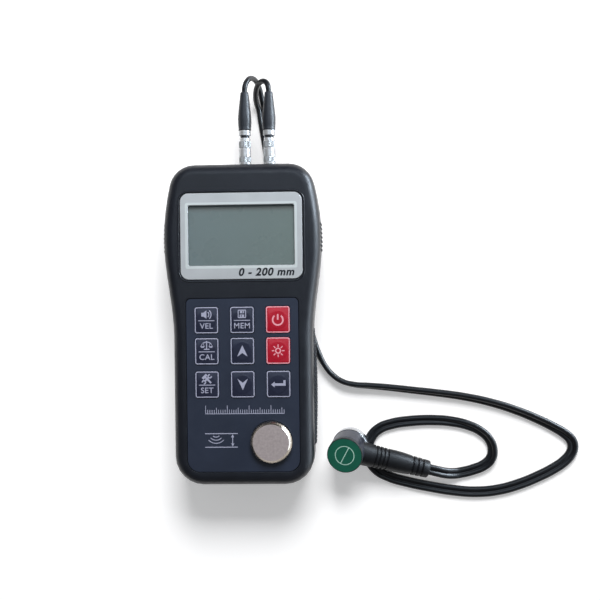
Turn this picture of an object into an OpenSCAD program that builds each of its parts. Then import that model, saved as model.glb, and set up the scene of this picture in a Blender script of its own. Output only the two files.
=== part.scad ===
// Handheld ultrasonic thickness gauge, lying on its back with its dual probe on a twin lead.
// Origin: middle of the case's width, 74.5 from its bottom end, on the plane that the battery hump rests on.
// X runs to the right of the face, Y towards the plugs and Z out of the face, in millimetres.

/* [Case] */
// Length of the case
body_l = 148; // [145:0.5:151]
// Width over the head
head_w = 73; // [71:0.5:75]
// Width over the grip
grip_w = 64.6; // [63:0.2:66]
// Height of the front face above the rest plane
front_z = 30.5; // [30:0.1:32]
// Height of the battery hump
hump_h = 5; // [4.6:0.1:5.4]
// Height of the parting plane
part_z = 13; // [12.6:0.1:13.4]
// Wall thickness
wall = 2; // [1.8:0.1:2.2]
// Rounding of the front edge
front_round = 5; // [4:0.5:6]
// Swell of the grip pads at the sides
pad_swell = 1.1; // [0.8:0.1:1.4]

/* [Display] */
// Width of the silver bezel
bezel_w = 56; // [54:0.5:58]
// Height of the silver bezel
bezel_l = 39.6; // [38.6:0.2:40.6]
// Width of the view through the bezel
view_w = 48.6; // [46:0.2:49.4]
// Height of the view through the bezel
view_l = 27.6; // [26:0.2:28.4]

/* [Keypad] */
// Width of the overlay
overlay_w = 51.4; // [50.6:0.2:53]
// Width of a key
key_w = 10.9; // [10:0.1:11.4]
// Height of a key as a share of the overlay's height
key_share = 0.153; // [0.14:0.001:0.155]
// Distance between key columns
key_pitch = 16.35; // [16.2:0.05:16.8]
// Travel of a key
key_travel = 0.4; // [0.3:0.05:0.6]

/* [Calibration disc] */
// Diameter of the steel disc
disc_d = 19.1; // [18:0.1:20]
// Thickness of the steel disc
disc_t = 5; // [4.6:0.1:5.4]

/* [Cells] */
// Diameter of a cell
cell_d = 14.2; // [13.8:0.1:14.5]
// Length of a cell
cell_l = 50; // [49.2:0.1:50.5]

/* [Plugs] */
// Distance between the two plugs
plug_pitch = 11.4; // [11:0.1:12]
// Diameter of a plug's sleeve
plug_d = 5.6; // [5.4:0.1:6]
// Travel of a plug's sleeve
sleeve_travel = 0.9; // [0.6:0.1:1.2]

/* [Probe] */
// Diameter of the probe's barrel
probe_d = 16.8; // [16.4:0.1:17.2]
// Height of the probe over its cap
probe_h = 18.2; // [17.6:0.1:19]
// Lean of the probe, in degrees
probe_tilt = 13.8; // [13:0.2:15]

/* [Cord] */
// Diameter of one lead
cord_d = 2.6; // [2.2:0.1:2.7]

/* [Hidden] */
$fn = 48;
eps = 0.1;

// Clearances
slide_gap = 0.2;
fit_gap = 0.1;
key_gap = 0.15;

// Case outline: straight grip, swelling to a bowed head
bottom_y = -74.5;
top_y = bottom_y + body_l;
bottom_r = 13.5;
top_r = 12;
head_r = 115;
waist_y = bottom_y + 68.5;
head_y = top_y - 35.5;
head_cx = head_w / 2 - head_r;
top_cy = top_y - top_r;
head_a = asin((top_cy - head_y) / (head_r - top_r));
top_cx = head_cx + (head_r - top_r) * cos(head_a);
draft = 0.2;
back_z = hump_h;
back_round = 6;
inner_z = front_z - wall;

// Grip pads on the front case: share of their length from the bottom, share of the swell
pad_y0 = bottom_y + 17.5;
pad_y1 = waist_y + 5.5;
pad_z0 = part_z + 0.2;
pad_z1 = part_z + 7.5;
pad_rows = [[0, 0.45], [0.15, 0.7], [0.3, 0.9], [0.45, 1], [0.6, 0.94], [0.75, 0.72],
    [0.9, 0.24], [1, -0.2]];

// Battery hump, cover and cells
hump_w = 37;
hump_y0 = bottom_y + 8.5;
hump_y1 = hump_y0 + 88;
hump_r = 6;
well_w = 31;
well_wall = 2;
cover_t = 2;
cover_recess = 0.3;
tongue = 1.1;
tongue_t = 1;
cover_top = cover_recess + cover_t;
cell_z = cover_top + slide_gap + cell_d / 2;
cell_x = 7.6;
plate_t = 0.5;
spring_l = 5;
well_y0 = hump_y0 + 2;
well_l = cell_l + spring_l + 2 * plate_t;
well_y1 = well_y0 + well_l;
well_z1 = cell_z + cell_d / 2 + slide_gap;
cover_y1 = well_y1 - 1.2;
plate_w = 9;

// Board and what stands on it
board_z = well_z1 + 1.2 + 0.7;
board_t = 1.6;
board_top = board_z + board_t;
board_w = 48;
board_y0 = bottom_y + 18;
board_y1 = top_y - 16;
dome_h = 0.6;
dome_d = 7;

// Screws
screw_d = 2.5;
screw_head_d = 4.5;
screw_head_h = 1.8;
boss_d = 6;
case_screw_at = [for (sx = [-1, 1]) each [[sx * 26, top_y - 12.5], [sx * 25, bottom_y + 12.5]]];
screw_reach = 8;
post_d = 5;
post_x = 21.5;
board_screw_d = 2;
board_screw_head_d = 3.8;
board_screw_head_h = 1.4;
board_screw_l = 7;

// Display stack under the front wall
display_y = top_y - 33.55;
view_y = 0.35;
bezel_seat = 1;
bezel_t = 1.2;
bezel_r = 4;
window_lip = 0.4;
window_t = 1;
lcd_w = 52;
lcd_l = 32;
lcd_t = 2.2;
lcd_gap = 0.4;
lcd_z = inner_z - lcd_gap - lcd_t;
light_t = 2.5;
holder_wall = 1.5;

// Keypad
overlay_edge = 6.7;
display_zone = 62.1;
overlay_l = body_l - overlay_edge - display_zone;
overlay_y = bottom_y + overlay_edge + overlay_l / 2;
overlay_seat = 0.8;
overlay_t = 0.6;
overlay_z = front_z - overlay_seat;
overlay_r_top = 2.2;
overlay_r_bottom = 5.6;
overlay_y1 = overlay_y + overlay_l / 2;
key_l = key_share * overlay_l;
key_rows = [for (share = [0.1237, 0.303, 0.495]) share * overlay_l];
key_proud = 0.4;
key_r = 1.2;
flange_t = 0.8;
flange_edge = 0.8;
stem_d = 4;
stem_z = board_top + dome_h + key_travel + 0.05;
post_y1 = overlay_y1 + post_d / 2 + slide_gap;
post_y0 = overlay_y1 - key_rows[2] - key_l / 2 - flange_edge - post_d / 2 - 1.8;
board_screw_at = [for (sx = [-1, 1], y = [post_y1, post_y0]) [sx * post_x, y]];

// Calibration disc in its cup
disc_side = 3.35;
disc_foot = 4.15;
disc_x = overlay_w / 2 - disc_side - disc_d / 2;
disc_y = bottom_y + overlay_edge + disc_foot + disc_d / 2;
disc_z = front_z + 3.7 - disc_t;
disc_chamfer = 1.3;
cup_wall = 1.6;
cup_floor = 1.2;

// Sockets and plugs on the top wall
plug_mid = 6.8;
plug_x = [plug_mid - plug_pitch / 2, plug_mid + plug_pitch / 2];
plug_z = part_z + 5;
socket_d = 7;
socket_depth = 8;
nose_d = 4.6;
nose_l = 6;
nut_af = 9;
nut_t = 1.8;
shaft_d = 4.2;
tail_d = 3;
sleeve_y = top_y + 0.4;
sleeve_l = 12.5;
nut_y = sleeve_y + sleeve_l + sleeve_travel + 0.2;
nut_l = 2.5;
boot_y = nut_y + nut_l;
boot_l = 18;
tip_y = boot_y + boot_l;
boot_bore_l = 7;

// Probe, leaning over the cord that runs under its edge
ring_d = probe_d + 0.4;
ring_h = 4.5;
ring_bore = 13;
barrel_wall = 1.5;
cap_h = 2.2;
barrel_h = probe_h - ring_h - cap_h;
probe_lean = 222;
probe_x = 49.2;
probe_y = -59.4;
probe_lift = ring_d / 2 * sin(probe_tilt);
probe_axis = [sin(probe_tilt) * cos(probe_lean), sin(probe_tilt) * sin(probe_lean), cos(probe_tilt)];
relief_h = 9.5;
relief_az = -15;
relief_drop = 8;
relief_d = 11.4;
relief_tip_d = 8.3;
relief_l = 40;
relief_start = 5;
spigot_d = 5;
spigot_start = 7.2;
relief_dir = [cos(relief_drop) * cos(relief_az), cos(relief_drop) * sin(relief_az), -sin(relief_drop)];
relief_root = [probe_x, probe_y, probe_lift] + relief_h * probe_axis;
relief_tip = relief_root + relief_l * relief_dir;

// Route of a lead from its boot: share of the way across, distance past the tip, share of the drop
cord_z = cord_d / 2 + 0.1;
lead_left_rows = [[0, 0, 0], [0.04, 2.8, 0], [0.18, 5.5, 0.06], [0.36, 7.3, 0.22], [0.56, 7.6, 0.42],
    [0.75, 6.4, 0.63], [0.88, 3.9, 0.81], [0.98, 0.2, 0.93], [1.13, -4.87, 1], [1.2266, -9.81, 1]];
lead_right_rows = [[0, 0, 0], [0.04, 2.8, 0], [0.16, 4.6, 0.04], [0.36, 5.5, 0.1], [0.6, 5.3, 0.22],
    [0.82, 4.1, 0.36], [0.96, 2.1, 0.53], [1.01, -0.4, 0.72], [0.97, -3, 0.9], [0.868, -5.25, 1],
    [0.7694, -10.19, 1]];
function lead_route(x, side, rows) = [for (r = rows)
    [x + side * r[0] * (plug_pitch + cord_d) / 2, tip_y + r[1], plug_z - r[2] * (plug_z - cord_z)]];

// Route of the twin cord: under the head, out at the side, one loop out and one loop back.
// The third number of a point is the flat cord's twist there: on its edge it stands taller.
join = [plug_mid + 1.6, tip_y - 10, cord_z];
twin_plan = [[9.3, 92, 0], [10.9, 82, 0], [12.6, 70, 0], [14.8, 57, 0], [17.5, 44, 0], [21, 31, 0],
    [24, 18, 5], [27, 6, 25], [30, -5, 55], [34, -16, 78], [37, -21, 86], [41, -26, 90], [45, -29, 88],
    [51, -31, 82], [58, -31, 74], [67, -32, 69], [79, -34, 66], [91, -35, 62], [104, -37, 58],
    [117, -40, 54], [129, -44, 50], [138, -48, 46], [146, -52, 40], [151, -55, 32], [154, -58, 24],
    [155, -61, 16], [154, -65, 8], [151, -68, 4], [146, -72, 0], [139, -75, 0], [130, -79, 0],
    [120, -82, 0], [109, -83, 0], [98, -82, 0], [87, -80, 0], [76, -78, 0], [67, -75, 0], [61, -72, 0],
    [58, -67, 0], [57.5, -61, 0], [59, -56, 0], [63, -52, 0], [69, -50, 0], [77, -49, 4], [88, -48, 10],
    [98, -49, 20], [106, -51, 32], [111, -54, 42], [115, -57, 48], [117, -62, 42], [116, -67, 26],
    [113, -70, 12], [108, -72, 4]];
twin_end = [[102, -73.5, 1.5], [98, -73.8, 2.6], [94, -73.3, 4]];
twin_route = concat([join], [for (p = twin_plan) [p.x, p.y, cord_z + 0.56 * cord_d * sin(p.z)]], twin_end,
    [relief_tip + 4 * relief_dir, relief_tip]);
twin_turns = concat([0], [for (p = twin_plan) p.z]);

// Outline and loft functions
function arc(cx, cy, r, a0, a1, n) =
    [for (i = [0:n]) let (a = a0 + (a1 - a0) * i / n) [cx + r * cos(a), cy + r * sin(a)]];
function smooth(t) = t * t * (3 - 2 * t);
function right_edge(d) = concat(
    arc(grip_w / 2 - bottom_r, bottom_y + bottom_r, bottom_r - d, -90, 0, 6),
    [for (i = [0:7]) let (t = i / 8)
        [grip_w / 2 + (head_w - grip_w) / 2 * smooth(t) - d, waist_y + (head_y - waist_y) * t]],
    arc(head_cx, head_y, head_r - d, 0, head_a, 4),
    [for (i = [1:6]) let (a = head_a + (90 - head_a) * i / 6)
        [top_cx + (top_r - d) * cos(a), top_cy + (top_r - d) * sin(a)]]);
function case_outline(d) = let (e = right_edge(d), n = len(e))
    concat(e, [for (i = [n - 1:-1:0]) [-e[i].x, e[i].y]]);
function case_ring(d, z) = [for (p = case_outline(d)) [p.x, p.y, z]];
function box_ring(w, y0, y1, r, d, z) = [for (c = [[1, -1, -90], [1, 1, 0], [-1, 1, 90], [-1, -1, 180]])
    each [for (p = arc(c[0] * (w / 2 - r), (y0 + y1) / 2 + c[1] * ((y1 - y0) / 2 - r), r - d,
        c[2], c[2] + 90, 4)) [p.x, p.y, z]]];
function pad_ring(sx, share, swell) = let (
        inside = grip_w / 2 - wall + slide_gap, x = grip_w / 2 + swell * pad_swell,
        p = [[inside, pad_z0], [inside, pad_z1], [x - 1.15, pad_z1], [x - 0.45, pad_z1 - 2.4],
            [x, pad_z0 + 1.6], [x - 0.25, pad_z0]])
    [for (i = [0:5]) let (q = p[sx > 0 ? i : 5 - i])
        [sx * q[0], pad_y0 + (pad_y1 - pad_y0) * share, q[1]]];
function unit(v) = v / norm(v);
function tangent(route, i) = unit(route[min(i + 1, len(route) - 1)] - route[max(i - 1, 0)]);
function tube_ring(route, i, w, h, up_hint, turn) = let (
        t = tangent(route, i), level = unit(up_hint - t * (t * up_hint)), left = cross(level, t),
        side = left * cos(turn) + level * sin(turn), up = level * cos(turn) - left * sin(turn))
    [for (k = [0:7]) let (a = 22.5 + 45 * k)
        route[i] + (side * w * cos(a) + up * h * sin(a)) / (2 * cos(22.5))];

// Closed solid through rings of equal, even point count, each counter-clockwise seen from its far end.
// The ends are strips across the ring, since a fan would fold over where the waist is hollow.
module loft(rings) {
    n = len(rings[0]);
    m = len(rings);
    polyhedron(
        points = [for (r = rings) each r],
        faces = concat(
            [for (i = [0:n / 2 - 2]) [i, i + 1, n - 2 - i, n - 1 - i]],
            [for (i = [0:n / 2 - 2]) [for (k = [n - 1 - i, n - 2 - i, i + 1, i]) (m - 1) * n + k]],
            [for (k = [0:m - 2]) for (i = [0:n - 1]) let (j = (i + 1) % n)
                each [[k * n + i, k * n + n + i, k * n + n + j], [k * n + i, k * n + n + j, k * n + j]]]));
}

module tube(route, w, h, up_hint, turns = []) {
    loft([for (i = [0:len(route) - 1])
        tube_ring(route, i, w, h, up_hint, i < len(turns) ? turns[i] : 0)]);
}

// Rounded rectangle, with one radius at its top corners and one at its bottom corners
module panel(w, l, r_top, r_bottom) {
    overlap = 1;
    translate([-w / 2, -l / 2 + r_bottom]) square([w, l - r_top - r_bottom]);
    translate([-w / 2 + r_top, l / 2 - r_top - overlap]) square([w - 2 * r_top, r_top + overlap]);
    translate([-w / 2 + r_bottom, -l / 2]) square([w - 2 * r_bottom, r_bottom + overlap]);
    for (sx = [-1, 1]) {
        translate([sx * (w / 2 - r_top), l / 2 - r_top]) circle(r_top);
        translate([sx * (w / 2 - r_bottom), -l / 2 + r_bottom]) circle(r_bottom);
    }
}

module slab(w, l, r, z0, z1) {
    translate([0, 0, z0]) linear_extrude(z1 - z0) panel(w, l, r, r);
}

module block(x0, x1, y0, y1, z0, z1) {
    translate([x0, y0, z0]) cube([x1 - x0, y1 - y0, z1 - z0]);
}

module on_y(x, z) {
    translate([x, 0, z]) rotate([-90, 0, 0]) children();
}

module rod(d, y0, y1) {
    translate([0, 0, y0]) cylinder(d = d, h = y1 - y0);
}

// Case shells
module front_outer() {
    loft(concat([case_ring(0, part_z)], [for (a = [0:18:90]) case_ring(
        draft + front_round * (1 - cos(a)), front_z - front_round * (1 - sin(a)))]));
}

module front_inner() {
    r = front_round - wall;
    loft(concat([case_ring(wall, part_z - eps)], [for (a = [0:45:90]) case_ring(
        wall + draft + r * (1 - cos(a)), inner_z - r * (1 - sin(a)))]));
}

module back_outer() {
    loft(concat([for (a = [0:22.5:90]) case_ring(
        back_round * (1 - sin(a)), back_z + back_round * (1 - cos(a)))], [case_ring(0, part_z)]));
}

module back_inner() {
    r = back_round - wall;
    loft(concat([for (a = [0:45:90]) case_ring(
        wall + r * (1 - sin(a)), back_z + wall + r * (1 - cos(a)))], [case_ring(wall, part_z + eps)]));
}

module hump() {
    levels = [[1.6, 0], [0.7, 0.4], [0.2, 1.4], [0, back_z + 1]];
    loft([for (v = levels) box_ring(hump_w, hump_y0, hump_y1, hump_r, v[0], v[1])]);
}

module gasket_ring(d0, d1, z0, z1) {
    translate([0, 0, z0]) linear_extrude(z1 - z0) difference() {
        polygon(case_outline(d0));
        polygon(case_outline(d1));
    }
}

module front_case() {
    color("#2d3036") difference() {
        union() {
            difference() {
                front_outer();
                front_inner();
            }
            for (sx = [-1, 1]) loft([for (r = pad_rows) pad_ring(sx, r[0], r[1])]);
            for (p = case_screw_at) translate([p.x, p.y, part_z])
                cylinder(d = boss_d, h = inner_z - part_z + eps);
            for (p = board_screw_at) translate([p.x, p.y, board_top])
                cylinder(d = post_d, h = inner_z - board_top + eps);
            translate([disc_x, disc_y, disc_z - cup_floor])
                cylinder(d = disc_d + 2 * (fit_gap + cup_wall), h = inner_z - disc_z + cup_floor + eps);
        }
        translate([0, display_y]) slab(bezel_w + 2 * slide_gap, bezel_l + 2 * slide_gap, bezel_r + slide_gap,
            front_z - bezel_seat, front_z + eps);
        translate([0, display_y + view_y]) slab(view_w + 2 * (window_lip + fit_gap),
            view_l + 2 * (window_lip + fit_gap), 1, inner_z - eps, front_z);
        translate([0, overlay_y, overlay_z]) linear_extrude(overlay_seat + eps)
            panel(overlay_w + 2 * slide_gap, overlay_l + 2 * slide_gap, overlay_r_top, overlay_r_bottom);
        for (row = [0:2], col = [0:2]) key_at(row, col)
            slab(key_w + 2 * key_gap, key_l + 2 * key_gap, key_r, inner_z - eps, front_z);
        translate([disc_x, disc_y, disc_z]) cylinder(d = disc_d + 2 * fit_gap, h = disc_t);
        for (x = plug_x) on_y(x, plug_z) rod(socket_d + 2 * fit_gap, top_y - 5, top_y + 1);
        for (p = case_screw_at) translate([p.x, p.y, part_z - eps]) cylinder(d = screw_d, h = 10);
        for (p = board_screw_at) translate([p.x, p.y, board_top - eps]) cylinder(d = board_screw_d, h = 6);
    }
}

module back_case() {
    color("#292c31") difference() {
        union() {
            difference() {
                union() {
                    back_outer();
                    hump();
                }
                back_inner();
            }
            block(-well_w / 2 - well_wall, well_w / 2 + well_wall, well_y0 - 2, well_y1 + well_wall,
                back_z, well_z1 + 1.2);
            for (p = case_screw_at) translate([p.x, p.y, back_z + 1])
                cylinder(d = boss_d, h = part_z - back_z - 1);
        }
        block(-well_w / 2, well_w / 2, well_y0, well_y1, cover_top, well_z1);
        block(-well_w / 2, well_w / 2, bottom_y, cover_y1 + slide_gap, -eps, cover_top + slide_gap);
        block(-well_w / 2 - tongue - slide_gap, well_w / 2 + tongue + slide_gap, bottom_y,
            cover_y1 + slide_gap, cover_top - tongue_t - slide_gap, cover_top + slide_gap);
        block(-hump_w / 2 + 3, hump_w / 2 - 3, well_y1 + well_wall, hump_y1 - 3, wall, back_z + wall + eps);
        for (p = case_screw_at) translate([p.x, p.y, 0]) {
            cylinder(d = screw_d + 2 * slide_gap, h = part_z + 1);
            cylinder(d = screw_head_d + 2 * slide_gap, h = back_z + 1 + screw_head_h);
        }
        gasket_ring(0.5, 1.5, part_z - 0.7, part_z + eps);
    }
}

module case_gasket() {
    color("#1c1c1e") gasket_ring(0.6, 1.4, part_z - 0.7, part_z);
}

module case_screws() {
    color("#8e9094") for (p = case_screw_at) translate([p.x, p.y, back_z + 1]) difference() {
        union() {
            cylinder(d = screw_head_d, h = screw_head_h);
            cylinder(d = screw_d - 0.1, h = part_z + screw_reach - back_z);
        }
        for (a = [0, 90]) rotate(a) cube([2.8, 0.6, 1.6], center = true);
    }
}

// Display
module display_bezel() {
    color("#b6bbbf") translate([0, display_y]) difference() {
        slab(bezel_w, bezel_l, bezel_r, front_z - bezel_seat, front_z - bezel_seat + bezel_t);
        translate([0, view_y]) slab(view_w, view_l, 0.8, inner_z, front_z + 1);
    }
}

module display_window() {
    z1 = front_z - bezel_seat;
    color("#9fb0b0", 0.4) translate([0, display_y + view_y])
        slab(view_w + 2 * window_lip, view_l + 2 * window_lip, 0.9, z1 - window_t, z1);
}

module lcd_panel() {
    color("#697d7d") translate([0, display_y + view_y]) slab(lcd_w, lcd_l, 0.5, lcd_z, lcd_z + lcd_t);
}

module lcd_backlight() {
    color("#d8dcd8") translate([0, display_y + view_y])
        slab(lcd_w - 1, lcd_l - 1, 0.5, lcd_z - light_t, lcd_z);
}

module lcd_holder() {
    w = lcd_w + 2 * (fit_gap + holder_wall);
    l = lcd_l + 2 * (fit_gap + holder_wall);
    color("#e4e4df") translate([0, display_y + view_y]) difference() {
        slab(w, l, 1.5, board_top, lcd_z + lcd_t - 0.5);
        slab(lcd_w + 2 * fit_gap, lcd_l + 2 * fit_gap, 0.5, lcd_z - light_t, lcd_z + lcd_t);
        slab(lcd_w - 6, lcd_l - 6, 0.5, board_top - eps, lcd_z);
    }
}

// Keypad
module key_at(row, col) {
    translate([(col - 1) * key_pitch, overlay_y1 - key_rows[row]]) children();
}

module keypad_overlay() {
    color("#303644") difference() {
        translate([0, overlay_y, overlay_z]) linear_extrude(overlay_t)
            panel(overlay_w, overlay_l, overlay_r_top, overlay_r_bottom);
        for (row = [0:2], col = [0:2]) key_at(row, col)
            slab(key_w + 2 * key_gap, key_l + 2 * key_gap, key_r, overlay_z - eps, front_z);
        translate([disc_x, disc_y, overlay_z - eps]) cylinder(d = disc_d + 2 * fit_gap, h = 2);
    }
}

module key(row, col, shade) {
    z1 = inner_z - fit_gap;
    color(shade) key_at(row, col) {
        slab(key_w, key_l, key_r, z1 - flange_t / 2, front_z + key_proud);
        slab(key_w + 2 * flange_edge, key_l + 2 * flange_edge, key_r, z1 - flange_t, z1);
        translate([0, 0, stem_z]) cylinder(d = stem_d, h = z1 - stem_z);
    }
}

module snap_domes() {
    r = (dome_d * dome_d / 4 + dome_h * dome_h) / (2 * dome_h);
    color("#c9c9c4") for (row = [0:2], col = [0:2]) key_at(row, col) translate([0, 0, board_top])
        rotate_extrude() intersection() {
            translate([0, dome_h - r]) circle(r, $fn = 180);
            square([dome_d / 2, dome_h]);
        }
}

// Board
module main_board() {
    color("#1f5c3a") difference() {
        block(-board_w / 2, board_w / 2, board_y0, board_y1, board_z, board_top);
        for (p = board_screw_at) translate([p.x, p.y, board_z - eps])
            cylinder(d = board_screw_d + 2 * slide_gap, h = board_t + 1);
    }
}

module board_chips() {
    // Each chip hangs under the board: middle, width, length and height
    chips = [[-12, 34, 12, 12, 1.4], [8, 36, 9, 7, 1.2], [14, 22, 8, 8, 4], [-14, 16, 7, 5, 1.2],
        [2, 18, 4, 10, 3], [-4, 48, 10, 5, 1.6]];
    color("#26262a") for (c = chips)
        block(c[0] - c[2] / 2, c[0] + c[2] / 2, c[1] - c[3] / 2, c[1] + c[3] / 2, board_z - c[4], board_z);
}

module board_screws() {
    color("#8e9094") for (p = board_screw_at) translate([p.x, p.y, 0]) {
        translate([0, 0, board_z - board_screw_head_h])
            cylinder(d = board_screw_head_d, h = board_screw_head_h);
        translate([0, 0, board_z - 0.2]) cylinder(d = board_screw_d - 0.1, h = board_screw_l);
    }
}

module calibration_disc() {
    c = disc_chamfer;
    r = disc_d / 2;
    color("#a59e9e") translate([disc_x, disc_y, disc_z]) rotate_extrude($fn = 96)
        polygon([[0, 0], [r, 0], [r, disc_t - c], [r - c, disc_t], [0, disc_t]]);
}

// Sockets and plugs
module socket(side) {
    color("#b9b6ae") on_y(plug_x[side], plug_z) {
        difference() {
            rod(socket_d, top_y - socket_depth, top_y);
            rod(nose_d + 2 * fit_gap, top_y - nose_l - 0.3, top_y + 1);
        }
        rod(1.2, top_y - socket_depth - 3.5, top_y - socket_depth + eps);
    }
}

module socket_nuts() {
    y1 = top_y - wall - draft;
    color("#b9b6ae") for (x = plug_x) on_y(x, plug_z) difference() {
        translate([0, 0, y1 - nut_t]) rotate(30) cylinder(d = nut_af / cos(30), h = nut_t, $fn = 6);
        rod(socket_d + 0.05, y1 - nut_t - 1, y1 + 1);
    }
}

module plug_body(side) {
    color("#c4c1b8") on_y(plug_x[side], plug_z) {
        difference() {
            rod(nose_d, top_y - nose_l, top_y);
            rod(nose_d - 1.2, top_y - nose_l - 1, top_y - 1);
        }
        rod(0.9, top_y - nose_l + 0.5, top_y);
        rod(shaft_d, top_y - eps, boot_y);
        rod(tail_d, boot_y - eps, boot_y + boot_bore_l - 0.5);
    }
}

module plug_sleeve(side) {
    bore = shaft_d + 2 * fit_gap;
    r = plug_d / 2;
    groove = 0.25;
    y1 = sleeve_y + sleeve_l;
    color("#c9cacc") on_y(plug_x[side], plug_z) rotate_extrude() polygon([
        [bore / 2, sleeve_y], [r - 0.3, sleeve_y], [r, sleeve_y + 0.3], [r, y1 - 6], [r - groove, y1 - 5.8],
        [r - groove, y1 - 3.2], [r, y1 - 3], [r, y1 - 0.3], [r - 0.3, y1], [bore / 2, y1]]);
}

module plug_nut(side) {
    color("#c9cacc") on_y(plug_x[side], plug_z) difference() {
        rod(plug_d, nut_y, boot_y);
        rod(shaft_d, nut_y - 1, boot_y + 1);
    }
}

module plug_boot(side) {
    r = plug_d / 2;
    bore = tail_d / 2;
    color("#17181c") on_y(plug_x[side], plug_z) rotate_extrude() polygon([
        [bore, boot_y], [r, boot_y], [r + 0.3, boot_y + 3], [r + 0.3, boot_y + 6.5],
        [r - 0.1, boot_y + 10], [1.9, tip_y - 1], [1.6, tip_y], [0, tip_y],
        [0, boot_y + boot_bore_l], [bore, boot_y + boot_bore_l]]);
}

// Battery
module battery_cover() {
    w = well_w - 2 * slide_gap;
    color("#292c31") difference() {
        union() {
            intersection() {
                translate([0, 0, cover_recess]) hump();
                block(-w / 2, w / 2, bottom_y, cover_y1, 0, cover_top);
            }
            block(-w / 2 - tongue, w / 2 + tongue, hump_y0 + hump_r, cover_y1 - 1,
                cover_top - tongue_t, cover_top);
        }
        for (i = [0:4]) translate([0, hump_y0 + 12 + 2.4 * i, cover_recess - 0.3]) rotate([0, 90, 0])
            cylinder(r = 0.9, h = 16, center = true);
    }
}

// A cell points its knob along Y when turned is 1, and the other way when it is -1
module cell(sx, turned) {
    mid = (well_y0 + well_y1) / 2 + turned * spring_l / 2;
    knob = 1.5;
    r = cell_d / 2;
    h = cell_l / 2;
    color("#6b7078") translate([sx * cell_x, mid, cell_z]) rotate([-90 * turned, 0, 0]) rotate_extrude()
        polygon([[0, -h], [r - 0.5, -h], [r, -h + 0.5], [r, h - knob - 0.5], [r - 0.5, h - knob],
            [2.75, h - knob], [2.75, h], [0, h]]);
}

module spring(d0, d1, wire, turns) {
    h = spring_l - fit_gap;
    steps = 12 * turns;
    route = [for (i = [0:steps]) let (t = i / steps, r = (d0 + (d1 - d0) * t) / 2, a = 360 * turns * t)
        [r * cos(a), r * sin(a), wire / 2 + (h - wire) * t]];
    tube(route, wire, wire, [0, 0, 1]);
}

module battery_springs() {
    color("#c8c8c8") {
        translate([-cell_x, well_y0 + plate_t, cell_z]) rotate([-90, 0, 0]) spring(9, 6, 0.8, 3);
        translate([cell_x, well_y1 - plate_t, cell_z]) rotate([90, 0, 0]) spring(9, 6, 0.8, 3);
    }
}

module battery_plates() {
    color("#c8c8c8") for (sx = [-1, 1], y = [well_y0, well_y1 - plate_t]) translate([sx * cell_x, 0])
        block(-plate_w / 2, plate_w / 2, y, y + plate_t, cell_z - plate_w / 2, cell_z + plate_w / 2);
}

// Probe
module at_probe() {
    translate([probe_x, probe_y, probe_lift])
        rotate(probe_tilt, [-sin(probe_lean), cos(probe_lean), 0]) children();
}

module at_relief() {
    translate(relief_root) rotate([0, 90 + relief_drop, relief_az]) children();
}

module probe_ring() {
    r = ring_d / 2;
    color("#c4c6c8") at_probe() rotate_extrude($fn = 72) polygon([[ring_bore / 2, 0], [r - 0.4, 0], [r, 0.4],
        [r, ring_h - 0.3], [r - 0.3, ring_h], [ring_bore / 2, ring_h]]);
}

module probe_barrel() {
    r = probe_d / 2;
    color("#46484f") difference() {
        at_probe() rotate_extrude($fn = 72) polygon([[r - barrel_wall, ring_h], [r, ring_h],
            [r, ring_h + barrel_h], [r - barrel_wall, ring_h + barrel_h]]);
        at_relief() cylinder(d = spigot_d + 2 * fit_gap, h = probe_d);
    }
}

module probe_cap() {
    r = probe_d / 2;
    z0 = ring_h + barrel_h;
    plug = r - barrel_wall - fit_gap;
    color("#0f5f4b") at_probe() rotate_extrude($fn = 72) polygon([[0, z0 - 1.5], [plug, z0 - 1.5],
        [plug, z0], [r, z0], [r, probe_h - 0.6], [r - 0.6, probe_h], [0, probe_h]]);
}

module probe_boot() {
    r0 = relief_d / 2;
    taper = (relief_d - relief_tip_d) / 2 / (relief_l - relief_start);
    groove = 0.7;
    grooves = [12.6, 14.5, 16.4, 18.3, 31, 33.4, 35.8];
    function edge(s) = r0 - taper * (s - relief_start);
    outline = concat([[0, relief_start], [r0, relief_start]],
        [for (s = grooves) each [[edge(s), s], [edge(s) - groove, s + 0.2],
            [edge(s) - groove, s + 0.8], [edge(s + 1), s + 1]]],
        [[edge(relief_l), relief_l - 0.4], [edge(relief_l) - 0.4, relief_l], [0, relief_l]]);
    color("#15161a") union() {
        difference() {
            at_relief() rotate_extrude($fn = 64) polygon(outline);
            at_probe() translate([0, 0, -5]) cylinder(d = ring_d + 2 * fit_gap, h = probe_h + 10, $fn = 72);
        }
        at_relief() translate([0, 0, spigot_start]) cylinder(d = spigot_d, h = relief_start);
    }
}

module probe_faces() {
    d = ring_bore - 2 * fit_gap;
    color("#5a5040") at_probe() difference() {
        translate([0, 0, 0.2]) cylinder(d = d, h = 3);
        translate([0, 0, 1]) cube([1 + 2 * fit_gap, d + 1, 8], center = true);
    }
}

module probe_barrier() {
    l = ring_bore - 1;
    color("#c2a87a") at_probe() block(-0.5, 0.5, -l / 2, l / 2, 0.2, 3.2);
}

module probe_damper() {
    color("#303236") at_probe() translate([0, 0, 3.2]) cylinder(d = ring_bore - 2 * fit_gap, h = 2.2);
}

// Cords
module lead_left() {
    color("#1b1d24") tube(lead_route(plug_x[0], 1, lead_left_rows), cord_d, cord_d, [1, 0, 0]);
}

module lead_right() {
    color("#1b1d24") tube(lead_route(plug_x[1], -1, lead_right_rows), cord_d, cord_d, [1, 0, 0]);
}

module cord_twin() {
    color("#1b1d24") tube(twin_route, 2 * cord_d, cord_d, [0, 0, 1], twin_turns);
}

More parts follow.
